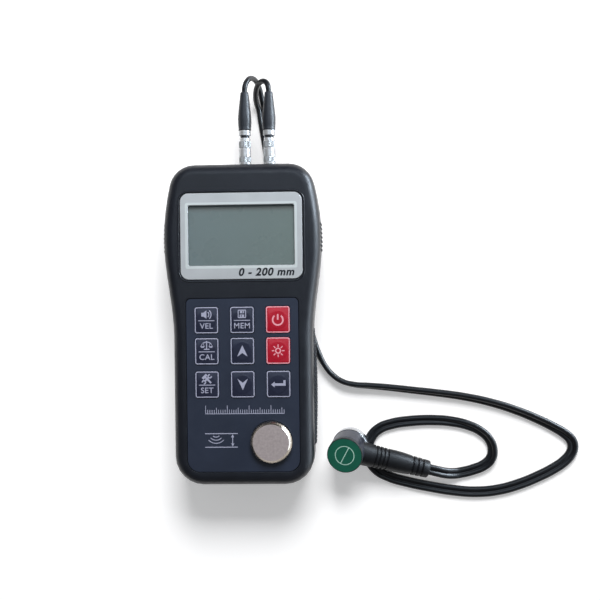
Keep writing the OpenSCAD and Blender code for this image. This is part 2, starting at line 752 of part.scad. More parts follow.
front_case();
back_case();
case_gasket();
case_screws();
display_bezel();
display_window();
lcd_panel();
lcd_backlight();
lcd_holder();
keypad_overlay();
key(0, 0, "#2a2e3e");  // key_velocity
key(0, 1, "#2a2e3e");  // key_save
key(0, 2, "#c81932");  // key_power
key(1, 0, "#2a2e3e");  // key_calibrate
key(1, 1, "#2a2e3e");  // key_up
key(1, 2, "#c81932");  // key_light
key(2, 0, "#2a2e3e");  // key_settings
key(2, 1, "#2a2e3e");  // key_down
key(2, 2, "#2a2e3e");  // key_enter
snap_domes();
main_board();
board_chips();
board_screws();
calibration_disc();
socket(0);  // socket_left
socket(1);  // socket_right
socket_nuts();
battery_cover();
cell(-1, 1);  // cell_left
cell(1, -1);  // cell_right
battery_springs();
battery_plates();
plug_body(0);  // plug_body_left
plug_body(1);  // plug_body_right
plug_sleeve(0);  // plug_sleeve_left
plug_sleeve(1);  // plug_sleeve_right
plug_nut(0);  // plug_nut_left
plug_nut(1);  // plug_nut_right
plug_boot(0);  // plug_boot_left
plug_boot(1);  // plug_boot_right
lead_left();
lead_right();
cord_twin();
probe_ring();
probe_barrel();
probe_cap();
probe_boot();
probe_faces();
probe_barrier();
probe_damper();
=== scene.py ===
"""Dresses the packed model of a handheld ultrasonic thickness gauge: finishes, prints, cords and stage."""

import math

import bmesh
import bpy
from bpy.props import FloatProperty, FloatVectorProperty, IntProperty, PointerProperty, StringProperty
from mathutils import Matrix, Vector
from mathutils.bvhtree import BVHTree
from mathutils.geometry import interpolate_bezier


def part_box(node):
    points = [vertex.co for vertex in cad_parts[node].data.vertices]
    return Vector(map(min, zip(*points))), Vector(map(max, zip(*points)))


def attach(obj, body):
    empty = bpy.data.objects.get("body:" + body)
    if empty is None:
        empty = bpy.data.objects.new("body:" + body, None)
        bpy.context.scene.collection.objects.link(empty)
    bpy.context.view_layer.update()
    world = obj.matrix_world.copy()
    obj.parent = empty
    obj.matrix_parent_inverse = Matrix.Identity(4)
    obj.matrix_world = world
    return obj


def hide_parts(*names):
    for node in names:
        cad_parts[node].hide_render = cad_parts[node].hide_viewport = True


bl_info = {
    "name": "Thickness gauge finisher",
    "version": (1, 0, 0),
    "blender": (4, 5, 0),
    "location": "View3D > Sidebar > Gauge",
    "description": "Finishes the packed model of an ultrasonic thickness gauge",
    "category": "Object",
}

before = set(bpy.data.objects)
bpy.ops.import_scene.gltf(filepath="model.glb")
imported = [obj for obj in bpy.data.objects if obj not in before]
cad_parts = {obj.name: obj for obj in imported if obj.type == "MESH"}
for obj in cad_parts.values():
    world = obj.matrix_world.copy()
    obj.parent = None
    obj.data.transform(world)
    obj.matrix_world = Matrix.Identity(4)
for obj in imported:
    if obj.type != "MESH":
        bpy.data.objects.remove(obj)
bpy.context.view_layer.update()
MM = 0.001
KEYS = ("velocity", "save", "power", "calibrate", "up", "light", "settings", "down", "enter")
RED_KEYS = ("power", "light")
ROOT = "gauge"
SHARP = math.radians(32)


# Sizes and colours a user would change


def colour_prop(label, text, default):
    return FloatVectorProperty(name=label, description=text, subtype="COLOR", size=3, min=0, max=1,
                               default=[linear(c) for c in default])


def length_prop(label, text, default):
    return FloatProperty(name=label, description=text, default=default * MM, unit="LENGTH", precision=5)


def linear(level):
    """The linear value of an 8-bit display level."""
    c = level / 255
    return c / 12.92 if c <= 0.04045 else ((c + 0.055) / 1.055) ** 2.4


class CaseSettings(bpy.types.PropertyGroup):
    """The moulded case and its grip dots."""

    colour: colour_prop("Case colour", "Colour of the moulded case", (18, 21, 29))
    edge: length_prop("Edge rounding", "Rounding of the case's moulded edges", 0.3)
    dot_size: length_prop("Dot diameter", "Diameter of a grip dot", 1.3)
    dot_pitch: length_prop("Dot pitch", "Distance between grip dots along the case", 2)


class DisplaySettings(bpy.types.PropertyGroup):
    """The silver bezel and the screen."""

    bezel: colour_prop("Bezel colour", "Colour of the silver bezel", (174, 179, 183))
    screen: colour_prop("Screen colour", "Colour of the blank screen", (33, 67, 70))
    range_text: StringProperty(name="Range", description="Range printed on the bezel", default="0 - 200 mm")
    text_height: length_prop("Range height", "Height of the printed range", 3.5)


class KeypadSettings(bpy.types.PropertyGroup):
    """The overlay, its keys and its prints."""

    film: colour_prop("Overlay colour", "Colour of the overlay film", (33, 40, 56))
    key: colour_prop("Key colour", "Colour of a plain key", (27, 31, 50))
    red: colour_prop("Red key colour", "Colour of the red keys", (159, 4, 33))
    ink: colour_prop("Ink colour", "Colour of the pale prints", (152, 155, 176))
    red_ink: colour_prop("Red key ink", "Colour of the prints on the red keys", (214, 148, 160))
    key_width: length_prop("Key width", "Width of a key", 10.9)
    key_height: length_prop("Key height", "Height of a key", 12.118)
    frame_line: length_prop("Frame line", "Width of the frame printed on a key", 0.46)


class DiscSettings(bpy.types.PropertyGroup):
    """The steel test disc."""

    face: colour_prop("Disc face", "Colour of the disc's ground face", (166, 156, 156))
    chamfer: length_prop("Disc chamfer", "Width of the polished chamfer", 1.3)


class PlugSettings(bpy.types.PropertyGroup):
    """The two coax plugs."""

    metal: colour_prop("Plug metal", "Colour of the plated plug metal", (190, 192, 194))
    knurls: IntProperty(name="Knurls", description="Ridges round a plug's knurled band", default=44, min=12, max=90)


class ProbeSettings(bpy.types.PropertyGroup):
    """The probe and its strain relief."""

    cap: colour_prop("Cap colour", "Colour of the probe's end cap", (10, 87, 68))
    barrel: colour_prop("Barrel colour", "Colour of the probe's barrel", (46, 50, 64))
    tilt: FloatProperty(name="Lean", description="Lean of the probe", default=math.radians(13.8), subtype="ANGLE")
    lean: FloatProperty(name="Lean direction", description="Direction of the lean in plan",
                        default=math.radians(222), subtype="ANGLE")


class CordSettings(bpy.types.PropertyGroup):
    """The leads and the twin cord."""

    jacket: colour_prop("Jacket colour", "Colour of the cord's jacket", (12, 14, 19))
    diameter: length_prop("Lead diameter", "Diameter of one lead", 2.6)


class StageSettings(bpy.types.PropertyGroup):
    """The floor, the lamps and the camera."""

    floor: colour_prop("Floor colour", "Colour of the floor", (236, 236, 237))
    key_power: FloatProperty(name="Key lamp", description="Power of the soft lamp past the plug end", default=12.5,
                             subtype="POWER")
    panel_power: FloatProperty(name="Side panel", description="Power of the reflected panel at the right", default=3.6,
                               subtype="POWER")
    focal: FloatProperty(name="Focal length", description="Focal length of the camera in millimetres", default=60)


# Modelling helpers


def clear_selection():
    if bpy.context.object and bpy.context.object.mode != "OBJECT":
        bpy.ops.object.mode_set(mode="OBJECT")
    bpy.ops.object.select_all(action="DESELECT")


def take(obj):
    """Make one object the selection."""
    clear_selection()
    obj.select_set(True)
    bpy.context.view_layer.objects.active = obj
    return obj


def fresh(name):
    """Name the object that an operator has just added."""
    obj = bpy.context.object
    obj.name = name
    obj.data.name = name
    return obj


def edit():
    bpy.ops.object.mode_set(mode="EDIT")


def done():
    bpy.ops.object.mode_set(mode="OBJECT")


def pick(kind, test):
    """Select the vertices, edges or faces that pass a test of their middle and normal."""
    bpy.ops.mesh.select_mode(type=kind)
    bpy.ops.mesh.select_all(action="DESELECT")
    mesh = bmesh.from_edit_mesh(bpy.context.edit_object.data)
    mesh.normal_update()
    for e in {"VERT": mesh.verts, "EDGE": mesh.edges, "FACE": mesh.faces}[kind]:
        if kind == "VERT":
            hit = test(e.co, e.normal)
        elif kind == "EDGE":
            a, b = e.verts
            hit = test((a.co + b.co) / 2, b.co - a.co)
        else:
            hit = test(e.calc_center_median(), e.normal)
        if hit:
            e.select_set(True)
    mesh.select_flush_mode()
    bmesh.update_edit_mesh(bpy.context.edit_object.data)


def settle(obj):
    """Put an object's place into its mesh."""
    take(obj)
    bpy.ops.object.transform_apply(location=True, rotation=True, scale=True)
    return obj


def smoothed(obj, angle=38):
    take(obj)
    bpy.ops.object.shade_smooth_by_angle(angle=math.radians(angle))
    return obj


def modified(obj, kind, **values):
    """Add a modifier, set it and apply it."""
    take(obj)
    bpy.ops.object.modifier_add(type=kind)
    mod = obj.modifiers[-1]
    for key, value in values.items():
        setattr(mod, key, value)
    bpy.ops.object.modifier_apply(modifier=mod.name)
    return obj


def rounded(obj, width, segments):
    """Round all the sharp edges."""
    return modified(obj, "BEVEL", width=width, segments=segments, limit_method="ANGLE",
                    angle_limit=SHARP, use_clamp_overlap=False, loop_slide=False)


def bevelled(obj, width, segments, test):
    """Round the sharp edges whose middle passes a test."""
    take(obj)
    edit()
    bpy.ops.mesh.select_mode(type="EDGE")
    bpy.ops.mesh.select_all(action="DESELECT")
    bpy.ops.mesh.edges_select_sharp(sharpness=SHARP)
    mesh = bmesh.from_edit_mesh(obj.data)
    for e in mesh.edges:
        if e.select and not test((e.verts[0].co + e.verts[1].co) / 2):
            e.select_set(False)
    mesh.select_flush_mode()
    bmesh.update_edit_mesh(obj.data)
    bpy.ops.mesh.bevel(offset=width, segments=segments, affect="EDGES", clamp_overlap=False, loop_slide=False)
    done()
    return obj


def mended(obj):
    take(obj)
    edit()
    bpy.ops.mesh.select_all(action="SELECT")
    bpy.ops.mesh.remove_doubles(threshold=1e-6)
    bpy.ops.mesh.normals_make_consistent(inside=False)
    done()
    return obj


def turned(name, rows, sides=48, bored=False):
    """A turned piece about Z: a circle, extruded and resized row by row. A row is a radius and a height in mm."""
    clear_selection()
    r, z = rows[0]
    bpy.ops.mesh.primitive_circle_add(vertices=sides, radius=r * MM, fill_type="NOTHING" if bored else "NGON",
                                      location=(0, 0, z * MM))
    obj = settle(fresh(name))
    edit()
    bpy.ops.mesh.select_mode(type="VERT")
    bpy.ops.mesh.select_all(action="SELECT")
    for (ra, za), (rb, zb) in zip(rows, rows[1:]):
        bpy.ops.mesh.extrude_region_move(TRANSFORM_OT_translate={"value": (0, 0, (zb - za) * MM)})
        bpy.ops.transform.resize(value=(rb / ra, rb / ra, 1))
    done()
    return mended(obj)


def placed(obj, matrix):
    obj.matrix_world = matrix
    return settle(obj)


def dressed(node, name, edge=0.0, segments=2, passes=()):
    """A copy of a CAD node's mesh, merged, made of quads where it can be, with its edges rounded.

    Where edges lie close together, they are rounded in passes: a width, its segments and a test of an edge's middle.
    """
    clear_selection()
    obj = bpy.data.objects.new(name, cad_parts[node].data.copy())
    obj.data.name = name
    obj.data.materials.clear()
    bpy.context.collection.objects.link(obj)
    take(obj)
    edit()
    bpy.ops.mesh.select_all(action="SELECT")
    bpy.ops.mesh.customdata_custom_splitnormals_clear()
    bpy.ops.mesh.remove_doubles(threshold=2e-6)
    bpy.ops.mesh.dissolve_limited(angle_limit=math.radians(0.4), delimit=set())
    bpy.ops.mesh.tris_convert_to_quads(face_threshold=math.radians(20), shape_threshold=math.radians(60))
    done()
    for width, steps, test in passes:
        bevelled(obj, width, steps, test)
    if not passes:
        rounded(obj, edge, segments)
    smoothed(obj, 34)
    return modified(obj, "WEIGHTED_NORMAL", keep_sharp=True, weight=60)


def boxed(name, width, height, z0, z1, corner):
    """A cube primitive about Z at its size, with its four upright edges rounded. Sizes in metres."""
    clear_selection()
    bpy.ops.mesh.primitive_cube_add(size=1, location=(0, 0, (z0 + z1) / 2))
    obj = fresh(name)
    obj.scale = (width, height, z1 - z0)
    settle(obj)
    edit()
    pick("EDGE", lambda mid, along: abs(along.z) > abs(along.x) + abs(along.y))
    bpy.ops.mesh.bevel(offset=corner, segments=5, affect="EDGES")
    done()
    return obj


def copied(obj, name, matrix):
    """A copy of a finished pattern, with a mesh of its own, at its place."""
    clear_selection()
    copy = bpy.data.objects.new(name, obj.data.copy())
    copy.data.name = name
    bpy.context.collection.objects.link(copy)
    return placed(copy, matrix)


def painted(obj, *materials):
    obj.data.materials.clear()
    for m in materials:
        obj.data.materials.append(m)
    return obj


def recoloured(obj, *materials):
    """Change what a copy's material slots hold, without changing which faces they cover."""
    for k, m in enumerate(materials):
        obj.data.materials[k] = m
    return obj


def repaint(obj, slot, test):
    """Give the faces that pass a test the material in a slot."""
    take(obj)
    edit()
    pick("FACE", test)
    obj.active_material_index = slot
    bpy.ops.object.material_slot_assign()
    done()
    return obj


def finished(obj, body, slot, *nodes):
    """Let a piece ride on its body and stand for the CAD nodes it replaces. Its slot is not used."""
    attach(obj, body)
    if nodes:
        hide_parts(*nodes)
    clear_selection()
    return obj


# Materials


MATERIALS = {}


def finish(name, colour, rough=0.4, metal=0.0, vary=0.12, vary_size=6, grain=0.0, grain_size=0.2, rough_vary=0.06,
           specular=0.5, stretch=(1, 1, 1), alpha=1.0):
    """A procedural finish on object coordinates: mottled colour, uneven gloss and a fine grain. Sizes in mm."""
    if name in MATERIALS:
        return MATERIALS[name]
    mat = bpy.data.materials.new(name)
    mat.use_nodes = True
    nodes, links = mat.node_tree.nodes, mat.node_tree.links
    shader = nodes["Principled BSDF"]
    place = nodes.new("ShaderNodeTexCoord")
    turn = nodes.new("ShaderNodeMapping")
    turn.inputs["Scale"].default_value = stretch
    links.new(place.outputs["Object"], turn.inputs["Vector"])

    def noise(size, detail):
        n = nodes.new("ShaderNodeTexNoise")
        n.inputs["Scale"].default_value = 1 / (size * MM)
        n.inputs["Detail"].default_value = detail
        links.new(turn.outputs["Vector"], n.inputs["Vector"])
        return n.outputs["Fac"]

    def spread(value, low, high):
        """A noise's usual span, stretched from low to high."""
        span = nodes.new("ShaderNodeMapRange")
        span.inputs["From Min"].default_value = 0.3
        span.inputs["From Max"].default_value = 0.7
        span.inputs["To Min"].default_value = low
        span.inputs["To Max"].default_value = high
        links.new(value, span.inputs["Value"])
        return span.outputs["Result"]

    mix = nodes.new("ShaderNodeMix")
    mix.data_type = "RGBA"
    mix.inputs["A"].default_value = [c * (1 - vary) for c in colour] + [1]
    mix.inputs["B"].default_value = [min(1, c * (1 + vary)) for c in colour] + [1]
    links.new(spread(noise(vary_size, 4), 0, 1), mix.inputs["Factor"])
    links.new(mix.outputs["Result"], shader.inputs["Base Color"])
    gloss = spread(noise(vary_size * 0.4, 3), max(0.02, rough - rough_vary), min(1, rough + rough_vary))
    links.new(gloss, shader.inputs["Roughness"])
    if grain > 0:
        bump = nodes.new("ShaderNodeBump")
        bump.inputs["Strength"].default_value = grain
        bump.inputs["Distance"].default_value = grain_size * MM
        links.new(noise(grain_size, 2), bump.inputs["Height"])
        links.new(bump.outputs["Normal"], shader.inputs["Normal"])
    shader.inputs["Metallic"].default_value = metal
    shader.inputs["Specular IOR Level"].default_value = specular
    shader.inputs["Alpha"].default_value = alpha
    MATERIALS[name] = mat
    return mat


def case_plastic():
    return finish("moulded_case", bpy.context.scene.gauge_case.colour, rough=0.39, vary=0.1, vary_size=14,
                  grain=0.18, grain_size=0.28, specular=0.45)


def pale_ink():
    return finish("pale_ink", bpy.context.scene.gauge_keypad.ink, rough=0.5, vary=0.08, vary_size=0.8, specular=0.3)


def red_key_ink():
    return finish("red_key_ink", bpy.context.scene.gauge_keypad.red_ink, rough=0.5, vary=0.06, vary_size=0.8,
                  specular=0.3)


def plug_plating():
    return finish("plug_plating", bpy.context.scene.gauge_plug.metal, rough=0.36, metal=0.6, vary=0.06, vary_size=2,
                  grain=0.06, grain_size=0.1)


def cord_jacket():
    return finish("cord_jacket", bpy.context.scene.gauge_cord.jacket, rough=0.34, vary=0.16, vary_size=4,
                  grain=0.1, grain_size=0.25, specular=0.45)


def relief_rubber():
    return finish("relief_rubber", [linear(c) for c in (13, 14, 18)], rough=0.46, vary=0.14, vary_size=3,
                  grain=0.16, grain_size=0.2, specular=0.3)


# Prints, drawn as flat outlines in mm


def bar(x0, y0, x1, y1, w):
    """A straight stroke."""
    d = Vector((x1 - x0, y1 - y0))
    n = Vector((-d.y, d.x)).normalized() * w / 2
    return [(x0 + n.x, y0 + n.y), (x0 - n.x, y0 - n.y), (x1 - n.x, y1 - n.y), (x1 + n.x, y1 + n.y)]


def round_dot(x, y, r, n=28):
    return [(x + r * math.cos(2 * math.pi * i / n), y + r * math.sin(2 * math.pi * i / n)) for i in range(n)]


def arc_stroke(x, y, r, w, a0, a1, n=24):
    """An arc of a circle drawn as a stroke, from angle a0 to a1 in degrees."""
    angles = [math.radians(a0 + (a1 - a0) * i / n) for i in range(n + 1)]
    outer = [(x + (r + w / 2) * math.cos(a), y + (r + w / 2) * math.sin(a)) for a in angles]
    inner = [(x + (r - w / 2) * math.cos(a), y + (r - w / 2) * math.sin(a)) for a in reversed(angles)]
    return outer + inner


def plate(x, y, w, h, r=0.0):
    """A rectangle, with rounded corners where r is given."""
    if not r:
        return [(x - w / 2, y - h / 2), (x + w / 2, y - h / 2), (x + w / 2, y + h / 2), (x - w / 2, y + h / 2)]
    out = []
    for sx, sy, a in ((1, -1, -90), (1, 1, 0), (-1, 1, 90), (-1, -1, 180)):
        for i in range(6):
            t = math.radians(a + 18 * i)
            out.append((x + sx * (w / 2 - r) + r * math.cos(t), y + sy * (h / 2 - r) + r * math.sin(t)))
    return out


def moved(outline, dx, dy, turn=0):
    c, s = math.cos(math.radians(turn)), math.sin(math.radians(turn))
    return [(x * c - y * s + dx, x * s + y * c + dy) for x, y in outline]


def icon_velocity():
    """A small sounder with two waves."""
    horn = [(-2.3, 1.7), (-1.3, 1.7), (0.1, 0.7), (0.1, 4.5), (-1.3, 3.5), (-2.3, 3.5)]
    return [[horn], [arc_stroke(-0.3, 2.6, 1.5, 0.5, -48, 48)], [arc_stroke(-0.3, 2.6, 2.5, 0.5, -48, 48)]]


def icon_save():
    """A diskette."""
    y = 2.75
    body = plate(0, y, 3.8, 3.8, 0.35)
    inside = plate(0, y, 3.0, 3.0, 0.15)
    return [[body, inside], [plate(0.05, y + 0.85, 1.9, 1.1), plate(0.4, y + 0.85, 0.45, 0.7)],
            [plate(0, y - 0.9, 2.0, 1.15), plate(-0.3, y - 0.95, 0.45, 0.65)]]


def icon_power():
    return [[arc_stroke(0, -0.15, 2.35, 0.72, 128, 412, 40)], [plate(0, 1.2, 0.72, 2.7, 0.2)]]


def icon_calibrate():
    """A balance with two pans."""
    pans = [[[(sx * 1.9 - 1.05, 2.35), (sx * 1.9 + 1.05, 2.35), (sx * 1.9 + 0.5, 1.65), (sx * 1.9 - 0.5, 1.65)]]
            for sx in (-1, 1)]
    slings = [[bar(sx * 1.9 - 0.8, 2.3, sx * 1.75, 3.9, 0.26)] for sx in (-1, 1)]
    slings += [[bar(sx * 1.9 + 0.8, 2.3, sx * 1.75, 3.9, 0.26)] for sx in (-1, 1)]
    beam = [[arc_stroke(0, 1.3, 2.95, 0.45, 48, 132)]]
    return pans + slings + beam + [[plate(0, 2.8, 0.5, 3.9, 0.2)], [plate(0, 0.95, 2.6, 0.5, 0.2)]]


def icon_up():
    return [[[(0, 2.7), (-2.4, -2.55), (0, -0.9), (2.4, -2.55)]]]


def icon_down():
    return [[[(0, -2.6), (-2.4, 2.6), (0, 0.75), (2.4, 2.6)]]]


def icon_light():
    rays = [[bar(1.75 * math.cos(a), 1.75 * math.sin(a), 2.9 * math.cos(a), 2.9 * math.sin(a), 0.5)]
            for a in (math.radians(45 * i) for i in range(8))]
    return [[round_dot(0, 0, 1.4), round_dot(0, 0, 0.82)]] + rays


def icon_settings():
    """A hammer and a spanner, crossed."""
    y = 2.45
    hammer = [[moved(plate(0, -0.5, 0.85, 3.9, 0.25), 0.15, y, 45)],
              [moved(plate(0, 1.7, 2.7, 1.15, 0.2), 0.1, y, 45)]]
    jaw = moved(arc_stroke(0, 1.9, 0.75, 0.6, 130, 410, 20), -0.1, y, -45)
    foot = moved(arc_stroke(0, -1.9, 0.75, 0.6, -50, 230, 20), -0.1, y, -45)
    return hammer + [[moved(plate(0, 0, 0.8, 2.6, 0.1), -0.1, y, -45)], [jaw], [foot]]


def icon_enter():
    return [[[(-3.4, -0.2), (-1.75, 1.15), (-1.75, 0.35), (2.2, 0.35), (2.2, 1.75), (3.25, 1.75), (3.25, -0.75),
              (-1.75, -0.75), (-1.75, -1.55)]]]


ICONS = {"velocity": icon_velocity, "save": icon_save, "power": icon_power, "calibrate": icon_calibrate,
         "up": icon_up, "light": icon_light, "settings": icon_settings, "down": icon_down, "enter": icon_enter}
LABELS = {"velocity": "VEL", "save": "MEM", "calibrate": "CAL", "settings": "SET"}


def flat_print(name, layers, x, y, z):
    """A thin print: each layer is a flat curve of outlines, made a mesh and joined. The layers step up a little."""
    made = []
    for k, outlines in enumerate(layers):
        clear_selection()
        curve = bpy.data.curves.new(name, "CURVE")
        curve.dimensions = "2D"
        curve.fill_mode = "BOTH"
        curve.extrude = 0.006 * MM
        for outline in outlines:
            spline = curve.splines.new("POLY")
            spline.points.add(len(outline) - 1)
            for p, (px, py) in zip(spline.points, outline):
                p.co = (px * MM, py * MM, 0, 1)
            spline.use_cyclic_u = True
        obj = bpy.data.objects.new(name, curve)
        bpy.context.collection.objects.link(obj)
        take(obj)
        bpy.ops.object.convert(target="MESH")
        obj = bpy.context.object
        obj.location = (x, y, z + (0.01 + 0.004 * (k % 4)) * MM)
        made.append(settle(obj))
    return joined(name, made)


def joined(name, parts):
    clear_selection()
    for p in parts:
        p.select_set(True)
    bpy.context.view_layer.objects.active = parts[0]
    if len(parts) > 1:
        bpy.ops.object.join()
    return fresh(name)


def lettered(name, text, height, x, y, z, bold=0.0, slant=0.0, align="CENTER", spacing=1.0):
    """Letters or figures of a given height, made a mesh at their place."""
    clear_selection()
    bpy.ops.object.text_add(location=(0, 0, 0))
    obj = fresh(name)
    obj.data.body = text
    obj.data.align_x = align
    obj.data.align_y = "CENTER"
    obj.data.size = height / 0.72
    obj.data.offset = bold * height
    obj.data.shear = slant
    obj.data.extrude = 0.006 * MM
    obj.data.space_character = spacing
    bpy.ops.object.convert(target="MESH")
    obj = bpy.context.object
    obj.location = (x, y, z + 0.01 * MM)
    return settle(obj)


# Routes of the cords, in mm, as in the part's source


LEAD_LEFT = ((0, 0, 0), (0.04, 2.8, 0), (0.18, 5.5, 0.06), (0.36, 7.3, 0.22), (0.56, 7.6, 0.42), (0.75, 6.4, 0.63),
             (0.88, 3.9, 0.81), (0.98, 0.2, 0.93), (1.13, -4.87, 1), (1.2266, -9.81, 1))
LEAD_RIGHT = ((0, 0, 0), (0.04, 2.8, 0), (0.16, 4.6, 0.04), (0.36, 5.5, 0.1), (0.6, 5.3, 0.22), (0.82, 4.1, 0.36),
              (0.96, 2.1, 0.53), (1.01, -0.4, 0.72), (0.97, -3, 0.9), (0.868, -5.25, 1), (0.7694, -10.19, 1))
PLUG_X = (1.1, 12.5)
PLUG_Z = 18
TIP_Y = 108
CORD_Z = 1.4
TWIN_PLAN = ((8.4, 98, 0), (9.3, 92, 0), (10.9, 82, 0), (12.6, 70, 0), (14.8, 57, 0), (17.5, 44, 0), (21, 31, 0),
             (24, 18, 5), (27, 6, 25), (30, -5, 55), (34, -16, 78), (37, -21, 86), (41, -26, 90), (45, -29, 88),
             (51, -31, 82), (58, -31, 74), (67, -32, 69), (79, -34, 66), (91, -35, 62), (104, -37, 58),
             (117, -40, 54), (129, -44, 50), (138, -48, 46), (146, -52, 40), (151, -55, 32), (154, -58, 24),
             (155, -61, 16), (154, -65, 8), (151, -68, 4), (146, -72, 0), (139, -75, 0), (130, -79, 0),
             (120, -82, 0), (109, -83, 0), (98, -82, 0), (87, -80, 0), (76, -78, 0), (67, -75, 0), (61, -72, 0),
             (58, -67, 0), (57.5, -61, 0), (59, -56, 0), (63, -52, 0), (69, -50, 0), (77, -49, 4), (88, -48, 10),
             (98, -49, 20), (106, -51, 32), (111, -54, 42), (115, -57, 48), (117, -62, 42), (116, -67, 26),
             (113, -70, 12), (108, -72, 4))
TWIN_END = ((102, -73.5, 1.5), (98, -73.8, 2.6), (94, -73.3, 4))
PROBE_FOOT = (49.2, -59.4)
RING_R = 8.6
RELIEF_UP = 9.5
RELIEF_AZ = math.radians(-15)
RELIEF_DROP = math.radians(8)
RELIEF_L = 40
LEAD_REACH = 7
EDGE_STAND = 1.12


def lead_route(x, side, rows):
    """A lead's points. A row is its share of the reach across, its Y past the boot's tip and its share of the drop."""
    return [Vector((x + side * across * LEAD_REACH, TIP_Y + past, PLUG_Z - drop * (PLUG_Z - CORD_Z))) * MM
            for across, past, drop in rows]


def probe_place():
    """The probe's frame: its foot on the floor, leaning on the cord under its edge."""
    s = bpy.context.scene.gauge_probe
    lift = RING_R * math.sin(s.tilt)
    axis = Vector((-math.sin(s.lean), math.cos(s.lean), 0))
    return Matrix.Translation(Vector((*PROBE_FOOT, lift)) * MM) @ Matrix.Rotation(s.tilt, 4, axis)


def relief_line():
    """Where the strain relief starts on the probe's axis, and the way it points."""
    root = probe_place() @ Vector((0, 0, RELIEF_UP * MM))
    way = Vector((math.cos(RELIEF_DROP) * math.cos(RELIEF_AZ), math.cos(RELIEF_DROP) * math.sin(RELIEF_AZ),
                  -math.sin(RELIEF_DROP)))
    return root, way


def eased(rows, passes=3):
    """The rows with their small steps smoothed out. A pass draws in and then lets out, so loops keep their size."""
    rows = [Vector(row) for row in rows]
    for _ in range(passes):
        for share in (0.5, -0.52):
            inner = [b + (a + c - 2 * b) * share / 2 for a, b, c in zip(rows, rows[1:], rows[2:])]
            rows = rows[:1] + inner + rows[-1:]
    return rows


def twin_route():
    """The points of the twin cord and the twist at each, in degrees."""
    root, way = relief_line()
    tip = root + way * RELIEF_L * MM
    stood = EDGE_STAND * bpy.context.scene.gauge_cord.diameter / 2
    lay = eased(TWIN_PLAN)
    points = [Vector((x * MM, y * MM, CORD_Z * MM + stood * math.sin(math.radians(turn)))) for x, y, turn in lay]
    ends = [Vector(p) * MM for p in TWIN_END] + [tip + way * 4 * MM, tip]
    return points + ends, [row[2] for row in lay]


def smooth_line(name, points, turns=()):
    """A curve of one open spline through the points, twisted at each by an angle in degrees."""
    clear_selection()
    curve = bpy.data.curves.new(name, "CURVE")
    curve.dimensions = "3D"
    curve.resolution_u = 8
    curve.twist_mode = "Z_UP"
    curve.use_fill_caps = True
    spline = curve.splines.new("BEZIER")
    spline.bezier_points.add(len(points) - 1)
    for b, p in zip(spline.bezier_points, points):
        b.co = p
        b.handle_left_type = b.handle_right_type = "AUTO"
    for b, turn in zip(spline.bezier_points, turns):
        b.tilt = math.radians(turn)
    obj = bpy.data.objects.new(name, curve)
    bpy.context.collection.objects.link(obj)
    bpy.context.view_layer.update()
    lowest = min(p.z for p in points)
    for b in spline.bezier_points:
        left, right = b.handle_left.copy(), b.handle_right.copy()
        b.handle_left_type = b.handle_right_type = "FREE"
        b.handle_left = (left.x, left.y, max(left.z, lowest))
        b.handle_right = (right.x, right.y, max(right.z, lowest))
    bpy.context.view_layer.update()
    return obj


def line_points(obj, steps=8):
    """Points along a bezier curve."""
    out = []
    b = obj.data.splines[0].bezier_points
    for p, q in zip(b, list(b)[1:]):
        out += interpolate_bezier(p.co, p.handle_right, q.handle_left, q.co, steps)[:-1]
    return out + [b[-1].co.copy()]


# Operators, one for each piece or group, each with the values it needs


# The camera's place in metres, and the ways to its right and behind it
CAMERA_PLACE = (0.0468, 0.01035, 0.4854)
CAMERA_RIGHT = (0.99894, -0.01235, -0.0444)
CAMERA_BACK = (0.0444, 0, 0.9990)
PANEL_TINT = (0.76, 0.88, 1)
SKY_TINT = (0.97, 0.985, 1, 1)
SKY_SOFT = 0.26
SKY_MIRRORED = 0.14
FLOOR_LIFT = 0.3


